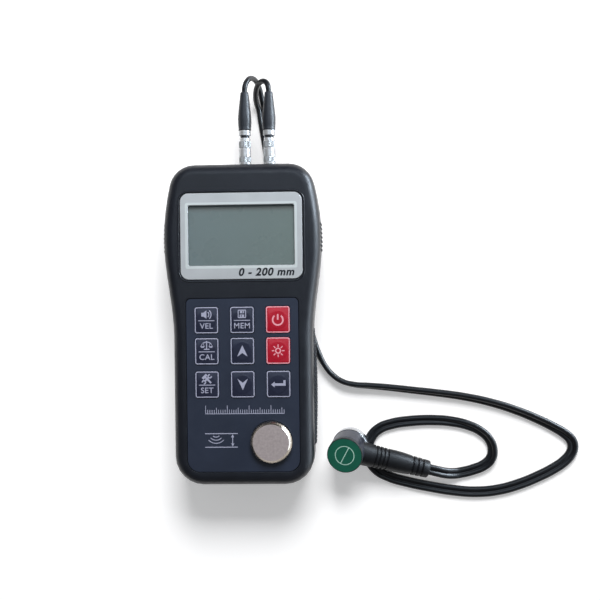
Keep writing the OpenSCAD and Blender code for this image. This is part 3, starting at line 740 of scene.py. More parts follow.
class GAUGE_OT_stage(bpy.types.Operator):
    """Add the floor, the lamps, the world and the camera"""

    bl_idname = "gauge.stage"
    bl_label = "Stage"

    def execute(self, context):
        s = context.scene.gauge_stage
        context.scene.view_settings.view_transform = "Standard"
        clear_selection()
        bpy.ops.mesh.primitive_plane_add(size=6, location=(0, 0, 0))
        floor = fresh("floor")
        mat = bpy.data.materials.new("pale_floor")
        mat.use_nodes = True
        nodes, links = mat.node_tree.nodes, mat.node_tree.links
        nodes.remove(nodes["Principled BSDF"])
        base = nodes.new("ShaderNodeBsdfDiffuse")
        base.inputs["Color"].default_value = (*s.floor, 1)
        lift = nodes.new("ShaderNodeEmission")
        lift.inputs["Color"].default_value = (1, 1, 1, 1)
        links.new(seen_share(nodes, links, FLOOR_LIFT), lift.inputs["Strength"])
        both = nodes.new("ShaderNodeAddShader")
        links.new(base.outputs[0], both.inputs[0])
        links.new(lift.outputs[0], both.inputs[1])
        links.new(both.outputs[0], nodes["Material Output"].inputs["Surface"])
        painted(floor, mat)

        world = bpy.data.worlds.new("studio")
        context.scene.world = world
        world.use_nodes = True
        nodes, links = world.node_tree.nodes, world.node_tree.links
        sky = nodes["Background"]
        sky.inputs["Color"].default_value = SKY_TINT
        links.new(sky_strength(nodes, links, SKY_SOFT, SKY_MIRRORED), sky.inputs["Strength"])
        white = nodes.new("ShaderNodeBackground")
        white.inputs["Color"].default_value = (1, 1, 1, 1)
        white.inputs["Strength"].default_value = 1
        ray = nodes.new("ShaderNodeLightPath")
        pick_sky = nodes.new("ShaderNodeMixShader")
        links.new(ray.outputs["Is Camera Ray"], pick_sky.inputs["Fac"])
        links.new(sky.outputs[0], pick_sky.inputs[1])
        links.new(white.outputs[0], pick_sky.inputs[2])
        links.new(pick_sky.outputs[0], nodes["World Output"].inputs["Surface"])

        lamp("key_lamp", (0.12, 0.68, 0.7), (0.03, -0.02, 0), (0.5, 0.4), s.key_power).visible_glossy = False
        for name, place, target, size, share in (
                ("top_panel", (0.05, 0.52, 1), (0.03, 0, 0), (0.9, 0.6), 1.15),
                ("side_panel", (0.7, 0, 0.4), (0.03, 0, 0.03), (0.9, 0.6), 0.5),
                ("edge_panel", (0.6, 0.02, 0.09), (0.03, 0.02, 0.03), (0.9, 0.2), 0.85),
                ("corner_lamp", (0.48, 0.28, 0.13), (0.036, 0.06, 0.028), (0.28, 0.2), 1.4)):
            lamp(name, place, target, size, s.panel_power * share, PANEL_TINT).visible_diffuse = False

        camera = bpy.data.objects.new("camera", bpy.data.cameras.new("camera"))
        context.collection.objects.link(camera)
        camera.data.sensor_width = 36
        camera.data.lens = s.focal
        camera.data.clip_start = 0.01
        back = Vector(CAMERA_BACK).normalized()
        up = back.cross(Vector(CAMERA_RIGHT)).normalized()
        right = up.cross(back)
        turn = Matrix((right, up, back)).transposed().to_4x4()
        camera.matrix_world = Matrix.Translation(CAMERA_PLACE) @ turn
        context.scene.camera = camera
        return {"FINISHED"}


def sky_strength(nodes, links, soft, mirrored):
    """The world's strength: one for soft light and a lower one for reflections."""
    ray = nodes.new("ShaderNodeLightPath")
    span = nodes.new("ShaderNodeMapRange")
    span.inputs["To Min"].default_value = soft
    span.inputs["To Max"].default_value = mirrored
    links.new(ray.outputs["Is Glossy Ray"], span.inputs["Value"])
    return span.outputs["Result"]


def seen_share(nodes, links, strength):
    """A strength that only camera, glossy and transmission rays see."""
    ray = nodes.new("ShaderNodeLightPath")
    total = ray.outputs["Is Camera Ray"]
    for name in ("Is Glossy Ray", "Is Transmission Ray"):
        most = nodes.new("ShaderNodeMath")
        most.operation = "MAXIMUM"
        links.new(total, most.inputs[0])
        links.new(ray.outputs[name], most.inputs[1])
        total = most.outputs[0]
    times = nodes.new("ShaderNodeMath")
    times.operation = "MULTIPLY"
    times.inputs[1].default_value = strength
    links.new(total, times.inputs[0])
    return times.outputs[0]


def lamp(name, place, target, size, power, tint=(1, 1, 1)):
    """A soft rectangular lamp."""
    data = bpy.data.lights.new(name, "AREA")
    data.color = tint
    data.shape = "RECTANGLE"
    data.size, data.size_y = size
    data.energy = power
    obj = bpy.data.objects.new(name, data)
    bpy.context.collection.objects.link(obj)
    obj.location = place
    obj.rotation_euler = (Vector(target) - Vector(place)).to_track_quat("-Z", "Y").to_euler()
    return obj


class GAUGE_OT_cords(bpy.types.Operator):
    """Lay the two leads and the twin cord"""

    bl_idname = "gauge.cords"
    bl_label = "Cords"

    def execute(self, context):
        s = context.scene.gauge_cord
        jacket = cord_jacket()
        for side, rows, x, sign in (("left", LEAD_LEFT, PLUG_X[0], 1), ("right", LEAD_RIGHT, PLUG_X[1], -1)):
            lead = smooth_line("cord_lead_" + side, lead_route(x, sign, rows))
            lead.data.bevel_depth = s.diameter / 2
            lead.data.bevel_resolution = 6
            painted(lead, jacket)
            finished(lead, ROOT, "cord", "lead_" + side)
            points = line_points(lead)
        profile = self.section(s.diameter / 2)
        twin = smooth_line("cord_twin_lay", *twin_route())
        points = line_points(twin)
        twin.data.bevel_mode = "OBJECT"
        twin.data.bevel_object = profile
        take(twin)
        bpy.ops.object.convert(target="MESH")
        twin = context.object
        bpy.data.objects.remove(profile)
        mended(twin)
        smoothed(twin, 60)
        painted(twin, jacket)
        finished(twin, ROOT, "cord", "cord_twin")
        return {"FINISHED"}

    @staticmethod
    def section(r):
        """The twin cord's section: two round jackets side by side, in one outline."""
        clear_selection()
        curve = bpy.data.curves.new("cord_section", "CURVE")
        curve.dimensions = "2D"
        spline = curve.splines.new("POLY")
        outline = [(r + r * math.cos(a), r * math.sin(a)) for a in (math.radians(-150 + 20 * i) for i in range(16))]
        outline += [(-x, -y) for x, y in outline]
        spline.points.add(len(outline) - 1)
        for p, (x, y) in zip(spline.points, outline):
            p.co = (x, y, 0, 1)
        spline.use_cyclic_u = True
        profile = bpy.data.objects.new("cord_section", curve)
        bpy.context.collection.objects.link(profile)
        return profile


# Where the case's edges and grip pads lie, in mm: the fine edges of the front half are below RIM_Z and those of the
# back half below HUMP_Z, and the parting plane is at PART_Z
RIM_Z = 13.1
HUMP_Z = 4.8
PART_Z = 13
PART_SLACK = 0.3
FINE_EDGE = 0.08
FACE_Z = 29
SIDE_Z = 13.5
SIDE_X = 31.5
PLUG_WALL_Y = 72
PAD_X = 31.2
PAD_Y = (-57, -1.5)
PAD_Z = (13.15, 20.8)


class GAUGE_OT_case(bpy.types.Operator):
    """Dress the case halves and the battery cover"""

    bl_idname = "gauge.case"
    bl_label = "Case"

    def execute(self, context):
        s = context.scene.gauge_case
        plastic = case_plastic()
        fine = FINE_EDGE * MM
        for node, body, passes in (
                ("front_case", ROOT, ((fine, 1, lambda p: p.z < RIM_Z * MM), (s.edge, 2, self.outside))),
                ("back_case", ROOT, ((fine, 1, lambda p: p.z < HUMP_Z * MM),
                                     (s.edge, 2, lambda p: abs(p.z - PART_Z * MM) < PART_SLACK * MM))),
                ("battery_cover", "battery_cover_body", ((fine, 1, lambda p: True),))):
            piece = painted(dressed(node, node + "_shell", passes=passes), plastic)
            if node == "front_case":
                self.line_pads(piece, finish("grip_pad_rubber", [c * 0.35 for c in s.colour], rough=0.6, vary=0.15,
                                             vary_size=4, grain=0.15, grain_size=0.2, specular=0.2))
            finished(piece, body, "housing", node)
        return {"FINISHED"}

    @staticmethod
    def line_pads(shell, rubber):
        """Give the faces of the two grip pads a darker rubber."""
        shell.data.materials.append(rubber)
        points = [v.co / MM for v in shell.data.vertices]
        for face in shell.data.polygons:
            corners = [points[k] for k in face.vertices]
            if all(abs(p.x) > PAD_X and PAD_Y[0] < p.y < PAD_Y[1] and PAD_Z[0] < p.z < PAD_Z[1] for p in corners):
                face.material_index = 1

    @staticmethod
    def outside(p):
        """Whether an edge of the front case is on its face, on a grip pad or round a plug's hole."""
        return p.z > FACE_Z * MM or p.z > SIDE_Z * MM and (abs(p.x) > SIDE_X * MM or p.y > PLUG_WALL_Y * MM)


# Fields of grip dots, in mm: where one starts and ends along the case, the height of its lowest row, its rows, and how
# much of the pitch every other row is shifted by
DOT_FIELDS = ((-56.4, -3, 13.9, 5, 0.5), (33.6, 46.6, 14.2, 7, 0))
DOT_ROW_PITCH = 1.6
BESIDE_X = 60


class GAUGE_OT_grip_dots(bpy.types.Operator):
    """Set rows of small dots on the grip pads and on the sides of the head"""

    bl_idname = "gauge.grip_dots"
    bl_label = "Grip dots"

    def execute(self, context):
        s = context.scene.gauge_case
        shell = bpy.data.objects["front_case_shell"]
        tree = BVHTree.FromObject(shell, context.evaluated_depsgraph_get())
        dot = turned("grip_dot", [(1, 0), (0.94, 0.35), (0.72, 0.7), (0.36, 0.92)], sides=8)
        places = []
        for side in (-1, 1):
            for y0, y1, z0, rows, step in DOT_FIELDS:
                for row in range(rows):
                    z = z0 + DOT_ROW_PITCH * row
                    y = y0 + row % 2 * step * s.dot_pitch / MM
                    while y <= y1:
                        hit, normal, _, _ = tree.ray_cast(Vector((side * BESIDE_X, y, z)) * MM, Vector((-side, 0, 0)))
                        if hit is None:
                            raise RuntimeError("a grip dot misses the case")
                        places.append((hit, normal))
                        y += s.dot_pitch / MM
        base = dot.data
        clear_selection()
        copies = []
        size = Matrix.Diagonal((s.dot_size / 2 / MM, s.dot_size / 2 / MM, 0.5, 1))
        for hit, normal in places:
            copy = bpy.data.objects.new("grip_dots", base.copy())
            context.collection.objects.link(copy)
            copy.data.transform(Matrix.Translation(hit) @ normal.to_track_quat("Z", "Y").to_matrix().to_4x4() @ size)
            copies.append(copy)
        bpy.data.objects.remove(dot)
        dots = smoothed(joined("grip_dots", copies), 60)
        painted(dots, finish("grip_dot_plastic", [c * 1.2 for c in s.colour], rough=0.45, vary=0.1, vary_size=5,
                             grain=0.1, grain_size=0.15, specular=0.3))
        finished(dots, ROOT, "housing")
        return {"FINISHED"}


class GAUGE_OT_display(bpy.types.Operator):
    """Dress the bezel, the window and the screen, and print the range"""

    bl_idname = "gauge.display"
    bl_label = "Display"

    def execute(self, context):
        s = context.scene.gauge_display
        silver = finish("bezel_silver", s.bezel, rough=0.36, metal=0.25, vary=0.05, vary_size=9, rough_vary=0.03,
                        grain=0.1, grain_size=0.12)
        bezel = painted(dressed("display_bezel", "bezel", 0.35 * MM, segments=3), silver)
        finished(bezel, ROOT, "bezel", "display_bezel")

        clear = finish("window_clear", (0.62, 0.68, 0.68), rough=0.06, vary=0.02, vary_size=30, rough_vary=0.02,
                       specular=0.5, alpha=0.1)
        window = painted(dressed("display_window", "window", 0.08 * MM), clear)
        finished(window, ROOT, "window", "display_window")

        screen = painted(dressed("lcd_panel", "screen", 0.1 * MM), screen_glass(s.screen))
        finished(screen, ROOT, "lcd", "lcd_panel")

        lo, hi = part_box("display_bezel")
        mid = (lo + hi) / 2
        clear_selection()
        lip = bpy.data.curves.new("bezel_lip", "CURVE")
        lip.dimensions = "3D"
        lip.bevel_depth = 0.36 * MM
        lip.bevel_resolution = 4
        spline = lip.splines.new("POLY")
        outline = plate(0, 0, (hi.x - lo.x) / MM + 1.7, (hi.y - lo.y) / MM + 1.7, 4.8)
        spline.points.add(len(outline) - 1)
        for point, (x, y) in zip(spline.points, outline):
            point.co = (x * MM, y * MM, 0, 1)
        spline.use_cyclic_u = True
        bead = bpy.data.objects.new("bezel_lip", lip)
        context.collection.objects.link(bead)
        take(bead)
        bpy.ops.object.convert(target="MESH")
        bead = placed(fresh("bezel_lip"), Matrix.Translation((mid.x, mid.y, hi.z - 0.3 * MM)))
        gloss = finish("lip_plastic", context.scene.gauge_case.colour, rough=0.2, vary=0.1, vary_size=6)
        finished(painted(smoothed(mended(bead), 60), gloss), ROOT, "housing")

        border = flat_print("bezel_border", [[plate(0, 0, 51.3, 30.3, 1), plate(0, 0, 49.2, 28.2, 0.5)]], mid.x,
                            mid.y + 0.35 * MM, hi.z)
        pale = finish("bezel_border_silver", [linear(c) for c in (194, 202, 204)], rough=0.36, metal=0.25, vary=0.02,
                      vary_size=9, rough_vary=0.01)
        finished(painted(border, pale), ROOT, "bezel")

        ink = finish("bezel_ink", [linear(c) for c in (22, 24, 30)], rough=0.5, vary=0.1, vary_size=1, specular=0.3)
        words = lettered("bezel_range", s.range_text, s.text_height, hi.x - 4 * MM, lo.y + 3.1 * MM, hi.z,
                         bold=0.05, slant=0.22, align="RIGHT", spacing=1.12)
        finished(painted(words, ink), ROOT, "bezel")
        return {"FINISHED"}


def screen_glass(colour):
    """Blank liquid crystal: a faint lattice of dots, and a painted reflection that tints it bluer at the left and less
    blue and a little lighter at the right.
    """
    mat = finish("screen_cell", colour, rough=0.3, vary=0.06, vary_size=26, specular=0.35)
    nodes, links = mat.node_tree.nodes, mat.node_tree.links
    shader = nodes["Principled BSDF"]
    mottled = shader.inputs["Base Color"].links[0].from_socket
    place = nodes.new("ShaderNodeTexCoord")
    apart = nodes.new("ShaderNodeSeparateXYZ")
    links.new(place.outputs["Object"], apart.inputs["Vector"])
    # Painted reflection: a tint across the screen, bluer at the left and less blue and a little lighter at the right
    across = nodes.new("ShaderNodeMapRange")
    across.inputs["From Min"].default_value = -24 * MM
    across.inputs["From Max"].default_value = 24 * MM
    links.new(apart.outputs["X"], across.inputs["Value"])
    painted_reflection_tint = nodes.new("ShaderNodeMix")
    painted_reflection_tint.data_type = "RGBA"
    painted_reflection_tint.inputs["A"].default_value = (0.94, 0.98, 1.1, 1)
    painted_reflection_tint.inputs["B"].default_value = (1.04, 1.02, 0.9, 1)
    links.new(across.outputs["Result"], painted_reflection_tint.inputs["Factor"])
    tinted = nodes.new("ShaderNodeMix")
    tinted.data_type = "RGBA"
    tinted.blend_type = "MULTIPLY"
    tinted.inputs["Factor"].default_value = 1
    links.new(mottled, tinted.inputs["A"])
    links.new(painted_reflection_tint.outputs["Result"], tinted.inputs["B"])
    lattice = nodes.new("ShaderNodeTexBrick")
    lattice.offset = 0
    dot, gap = 0.42 * MM, 0.035 * MM
    lattice.inputs["Scale"].default_value = 1
    lattice.inputs["Brick Width"].default_value = dot
    lattice.inputs["Row Height"].default_value = dot
    lattice.inputs["Mortar Size"].default_value = gap
    lattice.inputs["Color1"].default_value = (0.97, 0.97, 0.97, 1)
    lattice.inputs["Color2"].default_value = (1, 1, 1, 1)
    lattice.inputs["Mortar"].default_value = (1, 1, 1, 1)
    links.new(place.outputs["Object"], lattice.inputs["Vector"])
    times = nodes.new("ShaderNodeMix")
    times.data_type = "RGBA"
    times.blend_type = "MULTIPLY"
    times.inputs["Factor"].default_value = 1
    links.new(tinted.outputs["Result"], times.inputs["A"])
    links.new(lattice.outputs["Color"], times.inputs["B"])
    links.new(times.outputs["Result"], shader.inputs["Base Color"])
    return mat


class GAUGE_OT_keypad(bpy.types.Operator):
    """Dress the overlay and model the nine keys with their frames"""

    bl_idname = "gauge.keypad"
    bl_label = "Keypad"

    def execute(self, context):
        s = context.scene.gauge_keypad
        film = finish("overlay_film", s.film, rough=0.46, vary=0.08, vary_size=12, grain=0.14, grain_size=0.16,
                      specular=0.4)
        overlay = painted(dressed("keypad_overlay", "overlay", 0.12 * MM), film)
        finished(overlay, ROOT, "overlay", "keypad_overlay")
        plain = finish("key_film", s.key, rough=0.36, vary=0.1, vary_size=5, grain=0.1, grain_size=0.14, specular=0.45)
        red = finish("red_key_film", s.red, rough=0.34, vary=0.06, vary_size=5, grain=0.1, grain_size=0.14)
        pad = self.pad(s)
        for name in KEYS:
            node = "key_" + name
            lo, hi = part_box(node)
            top = Vector(((lo.x + hi.x) / 2, (lo.y + hi.y) / 2, hi.z))
            key = copied(pad, node + "_pad", Matrix.Translation(top))
            hot = name in RED_KEYS
            recoloured(key, red if hot else plain, red_key_ink() if hot else pale_ink())
            finished(key, node + "_body", "key_red" if hot else "key_blue", node)
        bpy.data.objects.remove(pad)
        return {"FINISHED"}

    def pad(self, s):
        """One key with its top at the origin: a rim, a frame, a fine groove, a face and the snap dome's low rise."""
        pad = boxed("key_pattern", s.key_width, s.key_height, -2.4 * MM, -0.2 * MM, 1.1 * MM)
        edit()
        pick("FACE", lambda at, n: n.z > 0.9)
        rim = 0.1 * MM
        for inward, up in ((rim, 0.08 * MM), (s.frame_line, 0), (0.1 * MM, -0.05 * MM), (0.16 * MM, 0.11 * MM),
                           (0.12 * MM, 0.04 * MM)):
            bpy.ops.mesh.inset(thickness=inward, depth=up, use_boundary=True)
        done()
        painted(pad, case_plastic(), pale_ink())
        half = Vector((s.key_width / 2, s.key_height / 2))

        def on_frame(at, n):
            inside = min(half.x - abs(at.x), half.y - abs(at.y))
            return n.z > 0.98 and abs(at.z + 0.12 * MM) < 0.005 * MM and inside < (rim + s.frame_line) * 1.6

        repaint(pad, 1, on_frame)
        dome = turned("key_rise", [(4.4, -0.2), (4.4, -0.02), (4.25, 0.03), (4.0, 0.055), (3.4, 0.07), (2, 0.08),
                                   (0.6, 0.082)])
        return smoothed(joined("key_pattern", [pad, painted(dome, case_plastic())]), 40)


class GAUGE_OT_key_prints(bpy.types.Operator):
    """Print the key icons and their labels"""

    bl_idname = "gauge.key_prints"
    bl_label = "Key prints"

    def execute(self, context):
        for name in KEYS:
            node = "key_" + name
            pad = bpy.data.objects[node + "_pad"]
            top = max(v.co.z for v in pad.data.vertices)
            lo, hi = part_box(node)
            mid = (lo + hi) / 2
            parts = [flat_print(node + "_icon", ICONS[name](), mid.x, mid.y, top)]
            if name in LABELS:
                parts.append(flat_print(node + "_line", [[plate(0, -0.2, 7.5, 0.36)]], mid.x, mid.y, top))
                parts.append(lettered(node + "_label", LABELS[name], 2.6 * MM, mid.x, mid.y - 2.75 * MM, top,
                                      bold=0.014, spacing=1.06))
            mark = joined(node + "_print", parts)
            painted(mark, red_key_ink() if name in RED_KEYS else pale_ink())
            finished(mark, node + "_body", "key_red" if name in RED_KEYS else "key_blue")
        return {"FINISHED"}


class GAUGE_OT_panel_prints(bpy.types.Operator):
    """Print the rule and the echo mark on the overlay"""

    bl_idname = "gauge.panel_prints"
    bl_label = "Panel prints"

    def execute(self, context):
        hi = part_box("keypad_overlay")[1]
        line, tall = 0.28, 3.6
        ticks = []
        for i in range(37):
            height = tall if i % 10 == 0 else 2.6 if i % 5 == 0 else 1.7
            ticks.append([plate(-18 + i, -tall / 2 + height / 2, line, height)])
        base = [plate(0, -1.94, 36 + line, line)]
        rule = flat_print("rule_print", ticks + [base], 0.7 * MM, -39.3 * MM, hi.z)
        finished(painted(rule, pale_ink()), ROOT, "overlay")
        walls = [[plate(0, 3.1, 15, 0.4)], [plate(0, -3.1, 15, 0.4)]]
        arrow = [[plate(5.2, 0, 0.36, 3.6)], [[(5.2, 2.8), (4.5, 1.4), (5.9, 1.4)]],
                 [[(5.2, -2.8), (4.5, -1.4), (5.9, -1.4)]]]
        waves = [[arc_stroke(-2.4, 3.4, r, 0.36, 222, 318)] for r in (1.9, 3.3, 4.7)]
        mark = flat_print("echo_print", walls + arrow + waves, -10.2 * MM, -53.4 * MM, hi.z)
        finished(painted(mark, pale_ink()), ROOT, "overlay")
        return {"FINISHED"}


class GAUGE_OT_test_disc(bpy.types.Operator):
    """Turn the steel test disc, with a ground face and a polished chamfer"""

    bl_idname = "gauge.test_disc"
    bl_label = "Test disc"

    def execute(self, context):
        s = context.scene.gauge_disc
        lo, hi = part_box("calibration_disc")
        r = (hi.x - lo.x) / 2 / MM
        h = (hi.z - lo.z) / MM
        c = s.chamfer / MM
        disc = turned("test_disc", [(r - 0.2, 0), (r, 0.2), (r, h - c - 0.05), (r - 0.05, h - c + 0.05), (r - c, h),
                                    (r * 0.5, h)], sides=96)
        placed(disc, Matrix.Translation(((lo.x + hi.x) / 2, (lo.y + hi.y) / 2, lo.z)))
        face = finish("ground_steel", s.face, rough=0.46, metal=0.35, vary=0.12, vary_size=1.1, rough_vary=0.08,
                      grain=0.2, grain_size=0.3)
        edge = finish("polished_steel", [linear(v) for v in (178, 168, 156)], rough=0.2, metal=1, vary=0.05,
                      vary_size=3, rough_vary=0.04)
        painted(disc, edge, face)
        repaint(disc, 1, lambda at, n: n.z > 0.99)
        smoothed(disc, 24)
        finished(disc, ROOT, "disc", "calibration_disc")
        return {"FINISHED"}


class GAUGE_OT_plugs(bpy.types.Operator):
    """Turn the plug sleeves, nuts and boots"""

    bl_idname = "gauge.plugs"
    bl_label = "Plugs"

    def execute(self, context):
        s = context.scene.gauge_plug
        plating = plug_plating()
        ridged = finish("plug_knurling", [c * 0.7 for c in s.metal], rough=0.42, metal=0.6, vary=0.08,
                        vary_size=1)
        rubber = finish("boot_rubber", [linear(c) for c in (27, 30, 37)], rough=0.48, vary=0.12, vary_size=3,
                        grain=0.12, grain_size=0.2, specular=0.6)
        along = Matrix.Rotation(math.radians(-90), 4, "X")

        y0, y1 = self.reach("plug_sleeve_left")
        bands = ((y0 + 1.25, y0 + 3.5), (y0 + 8.1, y0 + 10.9))
        sleeve = turned("sleeve_pattern", [
            (2.2, y0), (2.55, y0), (2.78, y0 + 0.25), (2.78, y0 + 0.9), (2.66, y0 + 1.0), (2.66, y0 + 1.15),
            (2.8, bands[0][0]), (2.8, bands[0][1]), (2.66, y0 + 3.6), (2.66, y0 + 3.8), (2.78, y0 + 3.9),
            (2.78, y0 + 7.2), (2.6, y0 + 7.4), (2.6, y0 + 7.9), (2.8, bands[1][0]), (2.8, bands[1][1]),
            (2.5, y0 + 11.25), (2.45, y1 - 0.2), (2.35, y1), (2.2, y1), (2.2, y0)], sides=2 * s.knurls, bored=True)

        def in_band(z, slack):
            return any((lo - slack) * MM < z < (hi + slack) * MM for lo, hi in bands)

        edit()
        pick("VERT", lambda co, n: in_band(co.z, 0.02) and math.hypot(co.x, co.y) > 2.7 * MM
             and round(math.atan2(co.y, co.x) / math.pi * s.knurls) % 2 == 0)
        bpy.ops.transform.resize(value=(0.965, 0.965, 1))
        done()
        painted(sleeve, plating, ridged)
        repaint(sleeve, 1, lambda at, n: in_band(at.z, -0.1) and math.hypot(at.x, at.y) > 2.5 * MM)
        smoothed(sleeve, 30)

        y0, y1 = self.reach("plug_nut_left")
        nut = turned("collar_pattern", [
            (2.1, y0), (2.6, y0), (2.8, y0 + 0.2), (2.8, y0 + 1.0), (2.68, y0 + 1.1), (2.68, y0 + 1.25),
            (2.8, y0 + 1.35), (2.8, y1 - 0.15), (2.7, y1), (2.1, y1), (2.1, y0)], bored=True)
        painted(smoothed(nut, 30), plating)

        y0 = self.reach("plug_boot_left")[0]
        boot = turned("boot_pattern", [
            (2.3, y0 + 0.02), (2.86, y0 + 0.02), (2.96, y0 + 0.15), (2.96, y0 + 0.6), (2.9, y0 + 0.75), (3.02, y0 + 2),
            (3.12, y0 + 3.6), (3.14, y0 + 5), (3.1, y0 + 6.6), (2.95, y0 + 8.3), (2.74, y0 + 10.2), (2.5, y0 + 12.4),
            (2.26, y0 + 14.6), (2.06, y0 + 16.4), (1.94, y0 + 17.4), (1.82, y0 + 17.85), (1.65, y0 + 18),
            (1.2, y0 + 18)])
        painted(smoothed(boot, 40), rubber)

        for side, x in zip(("left", "right"), PLUG_X):
            at = Matrix.Translation(Vector((x, 0, PLUG_Z)) * MM) @ along
            finished(copied(sleeve, "sleeve_" + side, at), "plug_sleeve_%s_body" % side, "plug_metal",
                     "plug_sleeve_" + side)
            finished(copied(nut, "plug_collar_" + side, at), ROOT, "plug_metal", "plug_nut_" + side)
            finished(copied(boot, "boot_" + side, at), ROOT, "boot", "plug_boot_" + side)
        for pattern in (sleeve, nut, boot):
            bpy.data.objects.remove(pattern)
        return {"FINISHED"}

    @staticmethod
    def reach(node):
        """Where a node starts and ends along the case, in mm."""
        lo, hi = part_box(node)
        return lo.y / MM, hi.y / MM


class GAUGE_OT_probe(bpy.types.Operator):
    """Turn the probe's ring, barrel, cap and strain relief, and mark the cap"""

    bl_idname = "gauge.probe"
    bl_label = "Probe"

    def execute(self, context):
        s = context.scene.gauge_probe
        at = probe_place()
        nickel = finish("probe_nickel", [linear(c) for c in (205, 206, 208)], rough=0.2, metal=1, vary=0.05,
                        vary_size=3, grain=0.05, grain_size=0.1)
        barrel_grey = finish("probe_barrel_grey", s.barrel, rough=0.4, metal=0.5, vary=0.08, vary_size=4, grain=0.08,
                             grain_size=0.12, stretch=(1, 1, 6))
        dark = finish("probe_rim", [linear(c) for c in (24, 27, 30)], rough=0.42, vary=0.1, vary_size=2)
        green = finish("cap_green", s.cap, rough=0.42, vary=0.08, vary_size=3, grain=0.1, grain_size=0.15)

        ring = turned("probe_nose", [(6.5, 0), (8.2, 0), (8.6, 0.4), (8.6, 3.0), (8.48, 3.1), (8.48, 3.25),
                                     (8.6, 3.35), (8.6, 4.25), (8.35, 4.5), (6.5, 4.5), (6.5, 0)],
                      sides=72, bored=True)
        finished(painted(placed(smoothed(ring, 30), at), nickel), ROOT, "probe_metal", "probe_ring")

        barrel = turned("probe_body", [(6.9, 4.5), (8.25, 4.5), (8.4, 4.65), (8.4, 15.7), (8.3, 15.8), (8.3, 16),
                                       (6.9, 16), (6.9, 4.5)], sides=72, bored=True)
        finished(painted(placed(smoothed(barrel, 30), at), barrel_grey), ROOT, "barrel", "probe_barrel")

        cap = turned("probe_lid", [(6.7, 14.6), (6.7, 16), (8.3, 16), (8.4, 16.1), (8.4, 17.85), (8.3, 18.1),
                                   (8.15, 18.2), (8.04, 18.19), (8, 18.12), (4, 18.13), (1, 18.14)], sides=72)
        painted(cap, dark, green)
        repaint(cap, 1, lambda mid, n: n.z > 0.95 and math.hypot(mid.x, mid.y) < 8.02 * MM)
        finished(placed(smoothed(cap, 30), at), ROOT, "green_cap", "probe_cap")

        mark = flat_print("cap_mark", [[round_dot(0, 0, 4.6, 48), round_dot(0, 0, 4.25, 48)],
                                       [plate(0, 0, 0.36, 8.4)]], 0, 0, 18.14 * MM)
        white = finish("cap_ink", [linear(c) for c in (168, 205, 192)], rough=0.5, vary=0.06, vary_size=1)
        finished(placed(painted(mark, white), at @ Matrix.Rotation(math.radians(-28), 4, "Z")), ROOT, "green_cap")

        root, way = relief_line()
        r0, r1, start = 5.7, 4.15, 5.6
        grooves = (12.6, 14.5, 16.4, 18.3, 31, 33.4, 35.8)

        def edge_at(d):
            return r0 - (r0 - r1) * (d - 5) / (RELIEF_L - 5) + 0.25 * math.sin(max(0, min(1, (d - 19) / 12)) * math.pi)

        rows = [(edge_at(start), start), (edge_at(12), 12), (edge_at(12.5), 12.5)]
        for g in grooves:
            if rows[-1][1] < g - 1.5:
                rows += [(edge_at(d), d) for d in (20.2, 22, 24, 26, 28, 29.6)]
            rows += [(edge_at(g), g), (edge_at(g) - 0.12, g + 0.08), (edge_at(g) - 0.6, g + 0.16),
                     (edge_at(g) - 0.6, g + 0.84), (edge_at(g) - 0.12, g + 0.92), (edge_at(g + 1), g + 1)]
        rows += [(edge_at(39.4), 39.4), (edge_at(39.8) - 0.15, 39.8), (edge_at(40) - 0.45, 40), (1.5, 40)]
        relief = turned("probe_relief", rows, sides=56)
        turn = way.to_track_quat("Z", "Y").to_matrix().to_4x4()
        placed(smoothed(relief, 34), Matrix.Translation(root) @ turn)
        finished(painted(relief, relief_rubber()), ROOT, "boot", "probe_boot")
        return {"FINISHED"}


